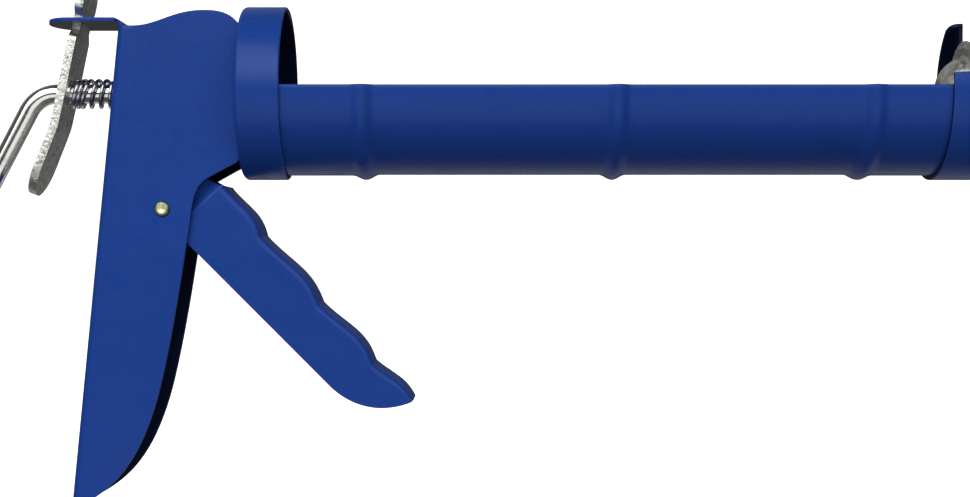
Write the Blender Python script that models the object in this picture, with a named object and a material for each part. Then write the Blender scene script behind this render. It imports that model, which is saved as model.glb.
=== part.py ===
"""Half-barrel caulking gun with a smooth push rod.

Metres, +Z up, +X towards the nozzle, +Y across the tool. The origin is the middle of the
trigger's pivot rivet, inside the hand's grip. Every piece is one object at its rest place.
"""

import math

import bmesh
import bpy
from mathutils import Matrix, Vector

MM = 0.001

# ---- driving dimensions, in millimetres ----
FIT = 0.3                 # gap between two pieces that lie on each other
RUN = 0.35                # radial clearance of a moving round in its hole

BARREL_AXIS_Z = 38.1      # rod and barrel axis above the trigger pivot
CUP_BACK_X = 25.0         # rear face of the cup ahead of the trigger pivot
BARREL_LENGTH = 239.9     # rear face of the cup to the front face of the cap
BARREL_OUTER_R = 28.3     # cup and cap
CUP_DEPTH = 14.3
CAP_DEPTH = 14.8
CUP_WALL = 1.2
CUP_CORNER = 1.4          # rounded edge of the drawn cups
CUP_INNER_BEND = 0.5

CRADLE_STEP = 0.2         # how much narrower the trough is between its ends
CRADLE_WALL = 1.0
CRADLE_RISE = 0.6         # top edges above the axis
CRADLE_END_GAP = 1.2      # from the trough's ends to the end plates
BEAD_COUNT = 3
BEAD_FIRST = 39.8         # first bead ahead of the cup's rear face
BEAD_LAST = 38.6          # last bead behind the cap's front face
BEAD_WIDTH = 9.0
BEAD_RISE = 1.65

BAND_RISE = 4.5           # cap band's top edge above the axis
EAR_WIDTH = 5.0           # length of the cap's ears along the barrel
EAR_ROUND = 3.4           # rear top corner of each ear
EAR_TOP_SHARE = 0.86      # height of the ears' tops over the axis, as a share of the radius
SLOT_HALF_WIDTH = 13.3    # nozzle slot, half its width

HANDLE_WIDTH = 25.4
HANDLE_WALL = 1.2
HANDLE_BACK_ROUND = 3.0
HANDLE_TOP_BACK_X = -14.6
HANDLE_TOP_RISE = 20.9    # rear end of the top edge above the barrel's axis
HANDLE_BOTTOM_Z = -96.5
HANDLE_BACK_LEAN = 0.096  # how far the back runs rearwards per unit of drop
CREST_X = 13.5
CREST_RISE = 25.9         # highest point of the walls above the barrel's axis
THROAT = (14.0, 9.6)      # where the front edge turns from the trigger to the cup
HANDLE_KNEE = (8.6, -6.0)
HANDLE_GRIP_EDGE = (-1.4, -60.5)
TAB_SPREAD = 13.0         # tabs above and below the barrel's axis
TAB_HALF = 3.0
TAB_PEEN = 0.9            # how far the tabs stand out of the cup's end plate

TONGUE_TOP_RISE = 23.55   # above the barrel's axis
TONGUE_TIP_X = -39.0
TONGUE_TIP_SHARE = 0.72   # length of the round tip, as a share of its half width
TONGUE_BEND = 2.4         # outer radius of the bend from the back into the tongue
TONGUE_INSET = 0.4        # narrower than the handle on each side
TONGUE_SINK = 0.05        # how far its foot's faces lie inside the back's sheet

ROD_R = 3.175
ROD_END_R = 2.5
HOOK_START_X = -36.6
HOOK_BEND_R = 10.8
HOOK_ANGLE = 62.6
HOOK_LENGTH = 48.0

DISH_SETBACK = 12.4       # back of the plunger's dish behind the cap's front face
DISH_DEPTH = 8.3
PLUNGER_R = 17.4
PLUNGER_WALL = 1.2
PLUNGER_WASHER = 0.8
PLUNGER_WASHER_R = 3.7

RIVET_R = 2.0
RIVET_HEAD_R = 2.6
RIVET_HEAD_HEIGHT = 0.9
SLEEVE_R = 4.0
SPACER_R = 3.1            # clear of the trigger's joggle

TRIGGER_SIDE_GAP = 0.8    # between the trigger's walls and the handle's
TRIGGER_WALL = 1.2
TRIGGER_FOLD = 1.0
JOGGLE_STEP = 2.2         # how far each wall steps inwards to its ear
JOGGLE_LENGTH = 2.4
EAR_HUB_R = 7.2           # round part of the ears behind the pivot
ARM_DROP = 3.1            # pushing nose below the barrel's axis
ARM_BACK = 12.0           # pushing nose behind the pivot
ARM_NOSE_R = 3.0
NOTCHES = [(19.6, 7.6), (31.5, -8.6), (50.2, -30.4), (67.7, -49.7), (80.7, -61.7)]
BUMPS = [1.6, 2.0, 2.1, 1.2]

DOG_THICKNESS = 2.5
DOG_SIDE_GAP = 2.0
DOG_ABOVE = 13.0
DOG_BELOW = 9.5
DOG_CORNER = 3.0

DRIVE_SPRING_GAP = 1.425  # between the rod and the coil
DRIVE_WIRE = 1.4
DRIVE_TURNS = 4.0
SEAT_WASHER = 1.0
SEAT_WASHER_RIM = 1.0     # how far the seats stand out past the coil

LEVER_THICKNESS = 2.7
LEVER_SIDE_GAP = 3.3      # narrower than the tongue on each side
LEVER_NECK = 2.5          # depth of each side's neck at the tongue
LEVER_LEAN = 11.6
LEVER_LOWER_LEAN = 21.5
LEVER_TOP_RISE = 33.9     # heights from the barrel's axis
LEVER_BEND_DROP = 10.2
LEVER_BOTTOM_DROP = 32.5
LEVER_BACK_X = -34.8      # its rear face at the rod's height
LEVER_HOLE_GAP = 0.725    # round the rod
LEVER_CORNER = 3.0
SLOT_GAP = 0.5            # round the lever's neck, sideways
SLOT_END_GAP = 0.8        # behind it
SLOT_FRONT_GAP = 0.7      # ahead of it

RELEASE_SPRING_GAP = 0.525
RELEASE_WIRE = 1.3
RELEASE_CLOSE_TURNS = 2.6
RELEASE_OPEN_TURNS = 3.3
RELEASE_CLOSE_GAP = 0.12  # between the closed coils

# ---- places and sizes worked out from them ----
CAP_FRONT_X = CUP_BACK_X + BARREL_LENGTH
CAP_BACK_X = CAP_FRONT_X - CAP_DEPTH
EAR_BACK_X = CAP_FRONT_X - EAR_WIDTH
DISH_X = CAP_FRONT_X - DISH_SETBACK
HOLE_R = ROD_R + RUN

CRADLE_END_OUTER_R = BARREL_OUTER_R - CUP_WALL - FIT
CRADLE_OUTER_R = CRADLE_END_OUTER_R - CRADLE_STEP
BEAD_PITCH = (BARREL_LENGTH - BEAD_FIRST - BEAD_LAST) / (BEAD_COUNT - 1)
BEADS = [CUP_BACK_X + BEAD_FIRST + BEAD_PITCH * number for number in range(BEAD_COUNT)]

HANDLE_TOP_Z = BARREL_AXIS_Z + HANDLE_TOP_RISE
CREST_Z = BARREL_AXIS_Z + CREST_RISE
HANDLE_INNER = HANDLE_WIDTH / 2 - HANDLE_WALL
TAB_REACH_X = CUP_BACK_X + CUP_WALL + TAB_PEEN
TONGUE_TOP_Z = BARREL_AXIS_Z + TONGUE_TOP_RISE
TONGUE_Z = TONGUE_TOP_Z - HANDLE_WALL / 2
TONGUE_HALF = HANDLE_WIDTH / 2 - TONGUE_INSET

TRIGGER_HALF = HANDLE_INNER - TRIGGER_SIDE_GAP
EAR_HALF = TRIGGER_HALF - JOGGLE_STEP
ARM_Z = BARREL_AXIS_Z - ARM_DROP
DOG_HALF = HANDLE_INNER - DOG_SIDE_GAP
DOG_X = ARM_NOSE_R - ARM_BACK + FIT
DRIVE_SPRING_R = ROD_R + DRIVE_SPRING_GAP + DRIVE_WIRE
RELEASE_SPRING_R = ROD_R + RELEASE_SPRING_GAP + RELEASE_WIRE

LEVER_HALF = TONGUE_HALF - LEVER_SIDE_GAP
LEVER_NECK_HALF = LEVER_HALF - LEVER_NECK
LEVER_TOP_Z = BARREL_AXIS_Z + LEVER_TOP_RISE
LEVER_BEND_Z = BARREL_AXIS_Z - LEVER_BEND_DROP
LEVER_BOTTOM_Z = BARREL_AXIS_Z - LEVER_BOTTOM_DROP
LEVER_SLOT_X = LEVER_BACK_X + (TONGUE_Z - BARREL_AXIS_Z) * math.tan(math.radians(LEVER_LEAN))


def back_x(z):
    """X of the handle's rear face at a height."""
    return HANDLE_TOP_BACK_X - (HANDLE_TOP_Z - z) * HANDLE_BACK_LEAN


# ---- scene and materials ----
def clear_scene():
    for obj in list(bpy.data.objects):
        bpy.data.objects.remove(obj, do_unlink=True)


def material(name, color, metallic, roughness):
    made = bpy.data.materials.new(name)
    made.use_nodes = True
    shader = made.node_tree.nodes["Principled BSDF"]
    shader.inputs["Base Color"].default_value = (*color, 1.0)
    shader.inputs["Metallic"].default_value = metallic
    shader.inputs["Roughness"].default_value = roughness
    return made


def empty_at(name, x, z):
    pivot = bpy.data.objects.new(name, None)
    pivot.location = (x * MM, 0, z * MM)
    bpy.context.scene.collection.objects.link(pivot)
    return pivot


def finish(name, mesh, look=None, parent=None, smooth=True):
    """An object from a bmesh in world millimetres, its own origin at its parent's."""
    centre = parent.location if parent else Vector()
    bmesh.ops.scale(mesh, vec=(MM, MM, MM), verts=mesh.verts)
    bmesh.ops.translate(mesh, vec=-centre, verts=mesh.verts)
    bmesh.ops.recalc_face_normals(mesh, faces=mesh.faces)
    data = bpy.data.meshes.new(name)
    mesh.to_mesh(data)
    mesh.free()
    obj = bpy.data.objects.new(name, data)
    bpy.context.scene.collection.objects.link(obj)
    obj.parent = parent
    if look:
        data.materials.append(look)
    if smooth:
        data.shade_smooth()
        data.set_sharp_from_angle(angle=math.radians(35))
    return obj


def combine(obj, helper, operation):
    """Joins or cuts obj with a hidden helper object."""
    helper.hide_render = True
    helper.display_type = "WIRE"
    step = obj.modifiers.new(f"{operation}_{helper.name}", "BOOLEAN")
    step.operation = operation
    step.solver = "EXACT"
    step.object = helper
    return obj


# ---- shapes, all in world millimetres ----
def prism(outline, low_y, high_y):
    """A side-view outline of (x, z) points drawn out across the tool."""
    mesh = bmesh.new()
    face = mesh.faces.new([mesh.verts.new((x, low_y, z)) for x, z in outline])
    grown = bmesh.ops.extrude_face_region(mesh, geom=[face])["geom"]
    moved = [item for item in grown if isinstance(item, bmesh.types.BMVert)]
    bmesh.ops.translate(mesh, vec=(0, high_y - low_y, 0), verts=moved)
    return mesh


def box(low, high):
    mesh = bmesh.new()
    size = Vector(high) - Vector(low)
    middle = (Vector(high) + Vector(low)) / 2
    bmesh.ops.create_cube(mesh, size=1, matrix=Matrix.Translation(middle) @ Matrix.Diagonal((*size, 1)))
    return mesh


def turned(profile, low_angle=0, high_angle=360, steps=48, z=BARREL_AXIS_Z, axis="X"):
    """A closed profile of (along, radius) points spun about an axis through (0, 0, z).

    About X, angle 0 points down -Z, so an arc about 0 is a trough. About Y it is a pin.
    """
    mesh = bmesh.new()
    if axis == "X":
        points = [(along, 0, z - radius) for along, radius in profile]
        direction = (1, 0, 0)
    else:
        points = [(0, along, z - radius) for along, radius in profile]
        direction = (0, 1, 0)
    section = [mesh.faces.new([mesh.verts.new(point) for point in points])]
    start = Matrix.Rotation(math.radians(low_angle), 3, direction)
    bmesh.ops.rotate(mesh, cent=(0, 0, z), matrix=start, verts=mesh.verts)
    all_round = high_angle - low_angle >= 360
    if all_round:
        bmesh.ops.delete(mesh, geom=section, context="FACES_ONLY")
        section = mesh.edges[:]
    bmesh.ops.spin(
        mesh, geom=section, cent=(0, 0, z), axis=direction,
        angle=math.radians(high_angle - low_angle), steps=steps,
    )
    if all_round:
        bmesh.ops.remove_doubles(mesh, verts=mesh.verts, dist=0.001)
        loose = [edge for edge in mesh.edges if not edge.link_faces]
        bmesh.ops.delete(mesh, geom=loose, context="EDGES")
    return mesh


def bored(low, high, inner, outer):
    """Rectangle profile of a washer, collar or tube."""
    return [(low, inner), (high, inner), (high, outer), (low, outer)]


def cylinder(x, z, radius, low, high, axis, steps=32):
    """A solid round bar along X or Y."""
    mesh = bmesh.new()
    bmesh.ops.create_cone(
        mesh, cap_ends=True, segments=steps, radius1=radius, radius2=radius, depth=high - low
    )
    turn = Matrix.Rotation(math.radians(90), 4, "Y" if axis == "X" else "X")
    middle = (low + high) / 2
    place = (middle, 0, z) if axis == "X" else (x, middle, z)
    bmesh.ops.transform(mesh, matrix=Matrix.Translation(place) @ turn, verts=mesh.verts)
    return mesh


def tube_along(points, radii, sides):
    """A closed round bar whose middle follows points, with a radius at each."""
    mesh = bmesh.new()
    rings = []
    normal = None
    for index, point in enumerate(points):
        ahead = points[min(index + 1, len(points) - 1)]
        behind = points[max(index - 1, 0)]
        tangent = (ahead - behind).normalized()
        if normal is None:
            normal = tangent.orthogonal().normalized()
        normal = (normal - tangent * normal.dot(tangent)).normalized()
        side = tangent.cross(normal)
        ring = []
        for step in range(sides):
            turn = 2 * math.pi * step / sides
            spoke = normal * math.cos(turn) + side * math.sin(turn)
            ring.append(mesh.verts.new(point + radii[index] * spoke))
        rings.append(ring)
    for one, two in zip(rings, rings[1:]):
        for step in range(sides):
            after = (step + 1) % sides
            mesh.faces.new((one[step], one[after], two[after], two[step]))
    mesh.faces.new(rings[0])
    mesh.faces.new(rings[-1])
    return mesh


def bezier(start, pull_a, pull_b, end, count):
    """Points of a cubic curve, without its first."""
    found = []
    for step in range(1, count + 1):
        t = step / count
        parts = ((1 - t) ** 3, 3 * t * (1 - t) ** 2, 3 * t * t * (1 - t), t ** 3)
        found.append(tuple(
            sum(share * point[axis] for share, point in zip(parts, (start, pull_a, pull_b, end)))
            for axis in (0, 1)
        ))
    return found


def arc(x, z, radius, start, end, count):
    """Points on a circle from one angle to another, in degrees, both ends included."""
    turns = [math.radians(start + (end - start) * step / count) for step in range(count + 1)]
    return [(x + radius * math.cos(turn), z + radius * math.sin(turn)) for turn in turns]


def shifted(outline, distance):
    """Each point of an open line moved to the line's right by a distance."""
    moved = []
    for index, (x, z) in enumerate(outline):
        after = outline[min(index + 1, len(outline) - 1)]
        before = outline[max(index - 1, 0)]
        run, rise = after[0] - before[0], after[1] - before[1]
        length = math.hypot(run, rise)
        moved.append((x + distance * rise / length, z - distance * run / length))
    return moved


def folded_channel(web, open_edge, half, wall):
    """A sheet folded into a U. web is the side view of the fold, an open line with the inside
    on its right, and open_edge carries on from its end round the walls' free edge.

    Returns the mesh and the two outer edges of the fold, which can be rounded.
    """
    mesh = bmesh.new()
    inside = shifted(web, wall)
    outer = web + open_edge
    inner = inside + open_edge
    sides = {}
    for sign in (1, -1):
        sides[sign, "outer"] = [mesh.verts.new((x, sign * half, z)) for x, z in outer]
        sides[sign, "inner"] = [mesh.verts.new((x, sign * (half - wall), z)) for x, z in inner]
        mesh.faces.new(sides[sign, "outer"])
        mesh.faces.new(sides[sign, "inner"])
    fold = len(web)
    for layer in ("outer", "inner"):
        left, right = sides[1, layer], sides[-1, layer]
        for i in range(fold - 1):
            mesh.faces.new((left[i], left[i + 1], right[i + 1], right[i]))
    for i in (0, fold - 1):
        mesh.faces.new([sides[key][i] for key in ((1, "outer"), (-1, "outer"), (-1, "inner"), (1, "inner"))])
    for sign in (1, -1):
        out, into = sides[sign, "outer"], sides[sign, "inner"]
        for i in range(fold - 1, len(outer)):
            after = (i + 1) % len(outer)
            mesh.faces.new((out[i], out[after], into[after], into[i]))
    bmesh.ops.recalc_face_normals(mesh, faces=mesh.faces)
    folds = [
        mesh.edges.get((sides[sign, "outer"][i], sides[sign, "outer"][i + 1]))
        for sign in (1, -1) for i in range(fold - 1)
    ]
    return mesh, folds


# ---- handle ----
def handle_outline():
    """Side view: down the back, round the foot, up the front, over the crest."""
    front = CUP_BACK_X - FIT
    foot = (back_x(HANDLE_BOTTOM_Z), HANDLE_BOTTOM_Z)
    points = [(HANDLE_TOP_BACK_X, HANDLE_TOP_Z), foot]
    points += bezier(foot, (-15.5, -90.5), (-7.5, -82.0), HANDLE_GRIP_EDGE, 9)
    points += bezier(HANDLE_GRIP_EDGE, (2.6, -45.0), (5.4, -27.0), HANDLE_KNEE, 6)
    points += bezier(HANDLE_KNEE, (9.5, 0.8), (9.7, 6.6), THROAT, 5)
    points += [(front - 0.4, THROAT[1] + 5.6), (front, THROAT[1] + 6.6)]
    for middle in (BARREL_AXIS_Z - TAB_SPREAD, BARREL_AXIS_Z + TAB_SPREAD):
        low, high = middle - TAB_HALF, middle + TAB_HALF
        points += [(front, low), (TAB_REACH_X, low), (TAB_REACH_X, high), (front, high)]
    shoulder = (front - 1.0, CREST_Z - 3.4)
    points += [(front, CREST_Z - 4.6), shoulder]
    points += bezier(shoulder, (CREST_X + 6, CREST_Z - 0.4), (CREST_X + 3, CREST_Z), (CREST_X, CREST_Z), 5)
    points += bezier((CREST_X, CREST_Z), (3.0, CREST_Z), (-1.5, HANDLE_TOP_Z), (-9.5, HANDLE_TOP_Z), 10)
    return points


def back_rounded(mesh, radius):
    """Rounds the long rear corners of a prism with the handle's side view."""
    edges = []
    for edge in mesh.edges:
        one, two = edge.verts
        along = abs(one.co.z - two.co.z) > 20 and abs(one.co.y - two.co.y) < 0.01
        if along and max(one.co.x, two.co.x) < HANDLE_TOP_BACK_X + 10:
            edges.append(edge)
    bmesh.ops.bevel(mesh, geom=edges, offset=radius, segments=4, profile=0.5, affect="EDGES")
    return mesh


def build_handle(paint):
    half = HANDLE_WIDTH / 2
    solid = back_rounded(prism(handle_outline(), -half, half), HANDLE_BACK_ROUND)
    shell = finish("handle_shell", solid, paint)
    above, below, ahead = HANDLE_TOP_Z + 30, HANDLE_BOTTOM_Z - 20, CUP_BACK_X + 30
    hollow = [
        (back_x(above) + HANDLE_WALL, above), (back_x(below) + HANDLE_WALL, below),
        (ahead, below), (ahead, above),
    ]
    cutter = back_rounded(prism(hollow, -HANDLE_INNER, HANDLE_INNER), HANDLE_BACK_ROUND - HANDLE_WALL)
    combine(shell, finish("handle_hollow", cutter), "DIFFERENCE")

    # the tongue: the back's sheet goes up, bends rearwards and ends in a round tip. Its foot
    # lies inside the back's sheet, between the rounded corners.
    bend_x = back_x(TONGUE_TOP_Z - TONGUE_BEND) + HANDLE_WALL - TONGUE_BEND
    bend_z = TONGUE_TOP_Z - TONGUE_BEND
    low = HANDLE_TOP_Z - 3
    front_x, rear_x = bend_x + TONGUE_BEND - TONGUE_SINK, bend_x + TONGUE_BEND - HANDLE_WALL + TONGUE_SINK
    down = (bend_z - low) * HANDLE_BACK_LEAN
    strip = [(front_x - down, low), (front_x, bend_z)]
    strip += arc(bend_x, bend_z, TONGUE_BEND, 15, 90, 5)
    strip += [(TONGUE_TIP_X - 3, TONGUE_TOP_Z), (TONGUE_TIP_X - 3, TONGUE_TOP_Z - HANDLE_WALL)]
    strip += arc(bend_x, bend_z, TONGUE_BEND - HANDLE_WALL, 90, 15, 5)
    strip += [(rear_x, bend_z), (rear_x - down, low)]
    tongue = finish("tongue_strip", prism(strip, -TONGUE_HALF, TONGUE_HALF))
    plan = bmesh.new()
    tip_length = TONGUE_HALF * TONGUE_TIP_SHARE
    wide = TONGUE_HALF + 0.2
    foot = HANDLE_WIDTH / 2 - HANDLE_BACK_ROUND - 0.1
    ring = [(TONGUE_TIP_X + tip_length * (1 + x), wide * y) for x, y in arc(0, 0, 1.0, 90, 270, 16)]
    ring += [(bend_x + 0.5, -wide), (bend_x + 0.5, -foot), (0, -foot)]
    ring += [(0, foot), (bend_x + 0.5, foot), (bend_x + 0.5, wide)]
    face = plan.faces.new([plan.verts.new((x, y, low - 5)) for x, y in ring])
    grown = bmesh.ops.extrude_face_region(plan, geom=[face])["geom"]
    bmesh.ops.translate(plan, vec=(0, 0, 30), verts=[v for v in grown if isinstance(v, bmesh.types.BMVert)])
    combine(tongue, finish("tongue_plan", plan), "INTERSECT")
    combine(shell, tongue, "UNION")

    # slot that the release lever's neck hangs in
    neck = LEVER_NECK_HALF + SLOT_GAP
    slot_back = LEVER_SLOT_X - SLOT_END_GAP
    slot_front = LEVER_SLOT_X + LEVER_THICKNESS + SLOT_FRONT_GAP
    slot = box((slot_back, -neck, TONGUE_Z - 3), (slot_front, neck, TONGUE_Z + 3))
    combine(shell, finish("lever_slot", slot), "DIFFERENCE")
    rod_hole = cylinder(0, BARREL_AXIS_Z, HOLE_R, back_x(BARREL_AXIS_Z) - 5, 0, "X")
    combine(shell, finish("back_rod_hole", rod_hole), "DIFFERENCE")
    rivet_hole = cylinder(0, 0, RIVET_R + FIT, -HANDLE_WIDTH, HANDLE_WIDTH, "Y")
    combine(shell, finish("rivet_hole", rivet_hole), "DIFFERENCE")


# ---- barrel ----
def cup_profile(flat_x, rim_x, hole):
    """Drawn cup whose end plate is at flat_x and whose rim is at rim_x."""
    way = 1 if rim_x > flat_x else -1
    corner_x = flat_x + way * CUP_CORNER
    outer = []
    inner = []
    for step in range(5):
        turn = math.radians(90 * step / 4)
        outer.append((
            corner_x - way * CUP_CORNER * math.cos(turn),
            BARREL_OUTER_R - CUP_CORNER + CUP_CORNER * math.sin(turn),
        ))
    bend = CUP_INNER_BEND
    for step in range(3):
        turn = math.radians(90 - 90 * step / 2)
        inner.append((
            flat_x + way * (CUP_WALL + bend - bend * math.cos(turn)),
            BARREL_OUTER_R - CUP_WALL - bend + bend * math.sin(turn),
        ))
    rim = [(rim_x, BARREL_OUTER_R), (rim_x, BARREL_OUTER_R - CUP_WALL)]
    return [(flat_x, hole)] + outer + rim + inner + [(flat_x + way * CUP_WALL, hole)]


def build_rear_cup(paint):
    cup = finish("rear_cup", turned(cup_profile(CUP_BACK_X, CUP_BACK_X + CUP_DEPTH, HOLE_R)), paint)
    middle = HANDLE_WIDTH / 2 - HANDLE_WALL / 2
    wide = HANDLE_WALL / 2 + FIT
    for side, side_name in ((-1, "right"), (1, "left")):
        for level, level_name in ((-TAB_SPREAD, "low"), (TAB_SPREAD, "high")):
            z = BARREL_AXIS_Z + level
            slot = box(
                (CUP_BACK_X - 1, side * middle - wide, z - TAB_HALF - FIT),
                (CUP_BACK_X + CUP_WALL + 1, side * middle + wide, z + TAB_HALF + FIT),
            )
            combine(cup, finish(f"tab_slot_{side_name}_{level_name}", slot), "DIFFERENCE")


def bead_rise(x):
    """How far a bead lifts the trough at x: a raised cosine over each bead's width."""
    away = min(abs(x - bead) for bead in BEADS)
    if away > BEAD_WIDTH / 2:
        return 0.0
    return BEAD_RISE * (0.5 + 0.5 * math.cos(2 * math.pi * away / BEAD_WIDTH))


def cradle_radius(x):
    """Outer radius: slightly wider where the ends sit in the cup and the cap."""
    between_beads = BEADS[0] <= x <= BEADS[-1]
    return (CRADLE_OUTER_R if between_beads else CRADLE_END_OUTER_R) + bead_rise(x)


def build_cradle(paint):
    stations = [CUP_BACK_X + CUP_WALL + CRADLE_END_GAP]
    for bead in BEADS:
        stations += [bead + BEAD_WIDTH * (step / 6 - 0.5) for step in range(7)]
    stations.append(CAP_FRONT_X - CUP_WALL - CRADLE_END_GAP)
    outer = [(x, cradle_radius(x)) for x in stations]
    inner = [(x, cradle_radius(x) - CRADLE_WALL) for x in reversed(stations)]
    reach = 90 + math.degrees(math.asin(CRADLE_RISE / CRADLE_OUTER_R))
    finish("cradle", turned(outer + inner, -reach, reach, steps=24), paint)


def build_front_cap(paint):
    cap = finish("front_cap", turned(cup_profile(CAP_FRONT_X, CAP_BACK_X, 6.0)), paint)
    band = BARREL_AXIS_Z + BAND_RISE
    top = BARREL_AXIS_Z + BARREL_OUTER_R + 5
    opening = [(CAP_BACK_X - 5, band), (EAR_BACK_X - 1, band)]
    opening += arc(EAR_BACK_X - 1, band + 1, 1.0, -90, 0, 4)[1:]
    ear_top = BARREL_AXIS_Z + EAR_TOP_SHARE * BARREL_OUTER_R
    opening += arc(EAR_BACK_X + EAR_ROUND, ear_top - EAR_ROUND, EAR_ROUND, 180, 90, 6)
    plate_x = CAP_FRONT_X - 0.9
    opening += [(plate_x, ear_top + 0.4), (plate_x, top), (CAP_BACK_X - 5, top)]
    combine(cap, finish("cap_opening", prism(opening, -40, 40)), "DIFFERENCE")
    outline = arc(0, BARREL_AXIS_Z, SLOT_HALF_WIDTH, 180, 360, 24)
    outline += [(SLOT_HALF_WIDTH, top), (-SLOT_HALF_WIDTH, top)]
    slot = bmesh.new()
    face = slot.faces.new([slot.verts.new((CAP_BACK_X - 5, y, z)) for y, z in outline])
    grown = bmesh.ops.extrude_face_region(slot, geom=[face])["geom"]
    moved = [v for v in grown if isinstance(v, bmesh.types.BMVert)]
    bmesh.ops.translate(slot, vec=(CAP_DEPTH + 10, 0, 0), verts=moved)
    combine(cap, finish("nozzle_slot", slot), "DIFFERENCE")


# ---- trigger ----
def finger_line(steps=7):
    """Front edge of the trigger: a skewed bump between each pair of notches."""
    points = [NOTCHES[0]]
    for (x0, z0), (x1, z1), rise in zip(NOTCHES, NOTCHES[1:], BUMPS):
        length = math.hypot(x1 - x0, z1 - z0)
        across = ((z0 - z1) / length, (x1 - x0) / length)
        for step in range(1, steps + 1):
            t = step / steps
            lift = rise * math.sin(math.pi * t ** 1.6)
            points.append((x0 + (x1 - x0) * t + across[0] * lift, z0 + (z1 - z0) * t + across[1] * lift))
    return points


def build_trigger(paint, pivot):
    """A folded channel whose walls step inwards to the ears that enter the handle."""
    open_edge = list(reversed(bezier((53.6, -57.0), (58.5, -62.0), (68.0, -67.0), (79.8, -62.4), 9)))
    open_edge += [(53.6, -57.0), (8.0, -11.6)]
    open_edge += arc(0, 0, EAR_HUB_R, 262, 165, 6)
    open_edge += [(-10.0, 12.0)]
    open_edge += arc(-ARM_BACK, ARM_Z, ARM_NOSE_R, 190, 12, 10)
    open_edge += [(-9.3, ARM_Z - 8.0), (-3.0, 18.5), (8.0, 13.5), (15.6, 10.2)]
    mesh, web_edges = folded_channel(finger_line(), open_edge, TRIGGER_HALF, TRIGGER_WALL)
    bmesh.ops.bevel(mesh, geom=web_edges, offset=TRIGGER_FOLD, segments=2, profile=0.5, affect="EDGES")

    # the joggle: past a slanted line each wall leans inwards, then runs on straight
    along = Vector((0.79, 0.0, 0.61)).normalized()
    past = Vector((-along.z, 0.0, along.x))
    start = Vector((NOTCHES[0][0], 0.0, NOTCHES[0][1])) + past * 0.2
    for distance in (0.0, JOGGLE_LENGTH):
        everything = mesh.verts[:] + mesh.edges[:] + mesh.faces[:]
        place = start + past * distance
        bmesh.ops.bisect_plane(mesh, geom=everything, dist=0.001, plane_co=place, plane_no=past)
    for vert in mesh.verts:
        share = min(max((vert.co - start).dot(past) / JOGGLE_LENGTH, 0.0), 1.0)
        vert.co.y -= math.copysign(JOGGLE_STEP * share, vert.co.y)
    trigger = finish("trigger", mesh, paint, pivot)
    hole = cylinder(0, 0, RIVET_R + RUN, -HANDLE_WIDTH, HANDLE_WIDTH, "Y")
    combine(trigger, finish("trigger_pivot_hole", hole, parent=pivot), "DIFFERENCE")


def build_pivot(zinc, yellow_zinc, pivot):
    half = HANDLE_WIDTH / 2
    profile = [(-half - RIVET_HEAD_HEIGHT, 0.0), (-half - RIVET_HEAD_HEIGHT, 1.5), (-half - 0.6, 2.3),
               (-half - FIT, RIVET_HEAD_R), (-half - FIT, RIVET_R)]
    mirrored = [(-y, r) for y, r in reversed(profile)]
    finish("pivot_rivet", turned(profile + mirrored, z=0, axis="Y", steps=20), yellow_zinc)
    inner_ear = EAR_HALF - TRIGGER_WALL
    sleeve = bored(-inner_ear + FIT, inner_ear - FIT, RIVET_R + RUN, SLEEVE_R)
    finish("pivot_sleeve", turned(sleeve, z=0, axis="Y", steps=24), zinc, pivot)
    near = EAR_HALF + FIT
    far = HANDLE_INNER - FIT
    for name, low, high in (("pivot_spacer_right", -far, -near), ("pivot_spacer_left", near, far)):
        finish(name, turned(bored(low, high, RIVET_R + RUN, SPACER_R), z=0, axis="Y", steps=24), zinc, pivot)


# ---- drive ----
def build_drive(steel, zinc, drive):
    x = DOG_X
    for name in ("drive_plate_rear", "drive_plate_front"):
        dog = box(
            (x, -DOG_HALF, BARREL_AXIS_Z - DOG_BELOW),
            (x + DOG_THICKNESS, DOG_HALF, BARREL_AXIS_Z + DOG_ABOVE),
        )
        corners = [e for e in dog.edges if abs(e.verts[0].co.x - e.verts[1].co.x) > 0.1]
        bmesh.ops.bevel(dog, geom=corners, offset=DOG_CORNER, segments=3, profile=0.5, affect="EDGES")
        made = finish(name, dog, steel, drive)
        hole = cylinder(0, BARREL_AXIS_Z, HOLE_R, x - 3, x + 6, "X")
        combine(made, finish(f"{name}_hole", hole, parent=drive), "DIFFERENCE")
        x += DOG_THICKNESS + FIT
    seat_r = DRIVE_SPRING_R + SEAT_WASHER_RIM
    washer = turned(bored(x, x + SEAT_WASHER, HOLE_R, seat_r), steps=32)
    finish("spring_washer_rear", washer, zinc, drive)
    spring_start = x + SEAT_WASHER + FIT
    front = CUP_BACK_X - FIT
    washer = turned(bored(front - SEAT_WASHER, front, HOLE_R, seat_r), steps=32)
    finish("spring_washer_front", washer, zinc)
    spring_end = front - SEAT_WASHER - FIT
    wire = DRIVE_WIRE / 2
    count = int(DRIVE_TURNS * 12)
    points = []
    for step in range(count + 1):
        share = step / count
        turn = 2 * math.pi * DRIVE_TURNS * share
        radius = DRIVE_SPRING_R - wire
        along = spring_start + wire + (spring_end - spring_start - DRIVE_WIRE) * share
        points.append(Vector((along, radius * math.sin(turn), BARREL_AXIS_Z + radius * math.cos(turn))))
    finish("drive_spring", tube_along(points, [wire] * len(points), 6), steel, drive)


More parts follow.
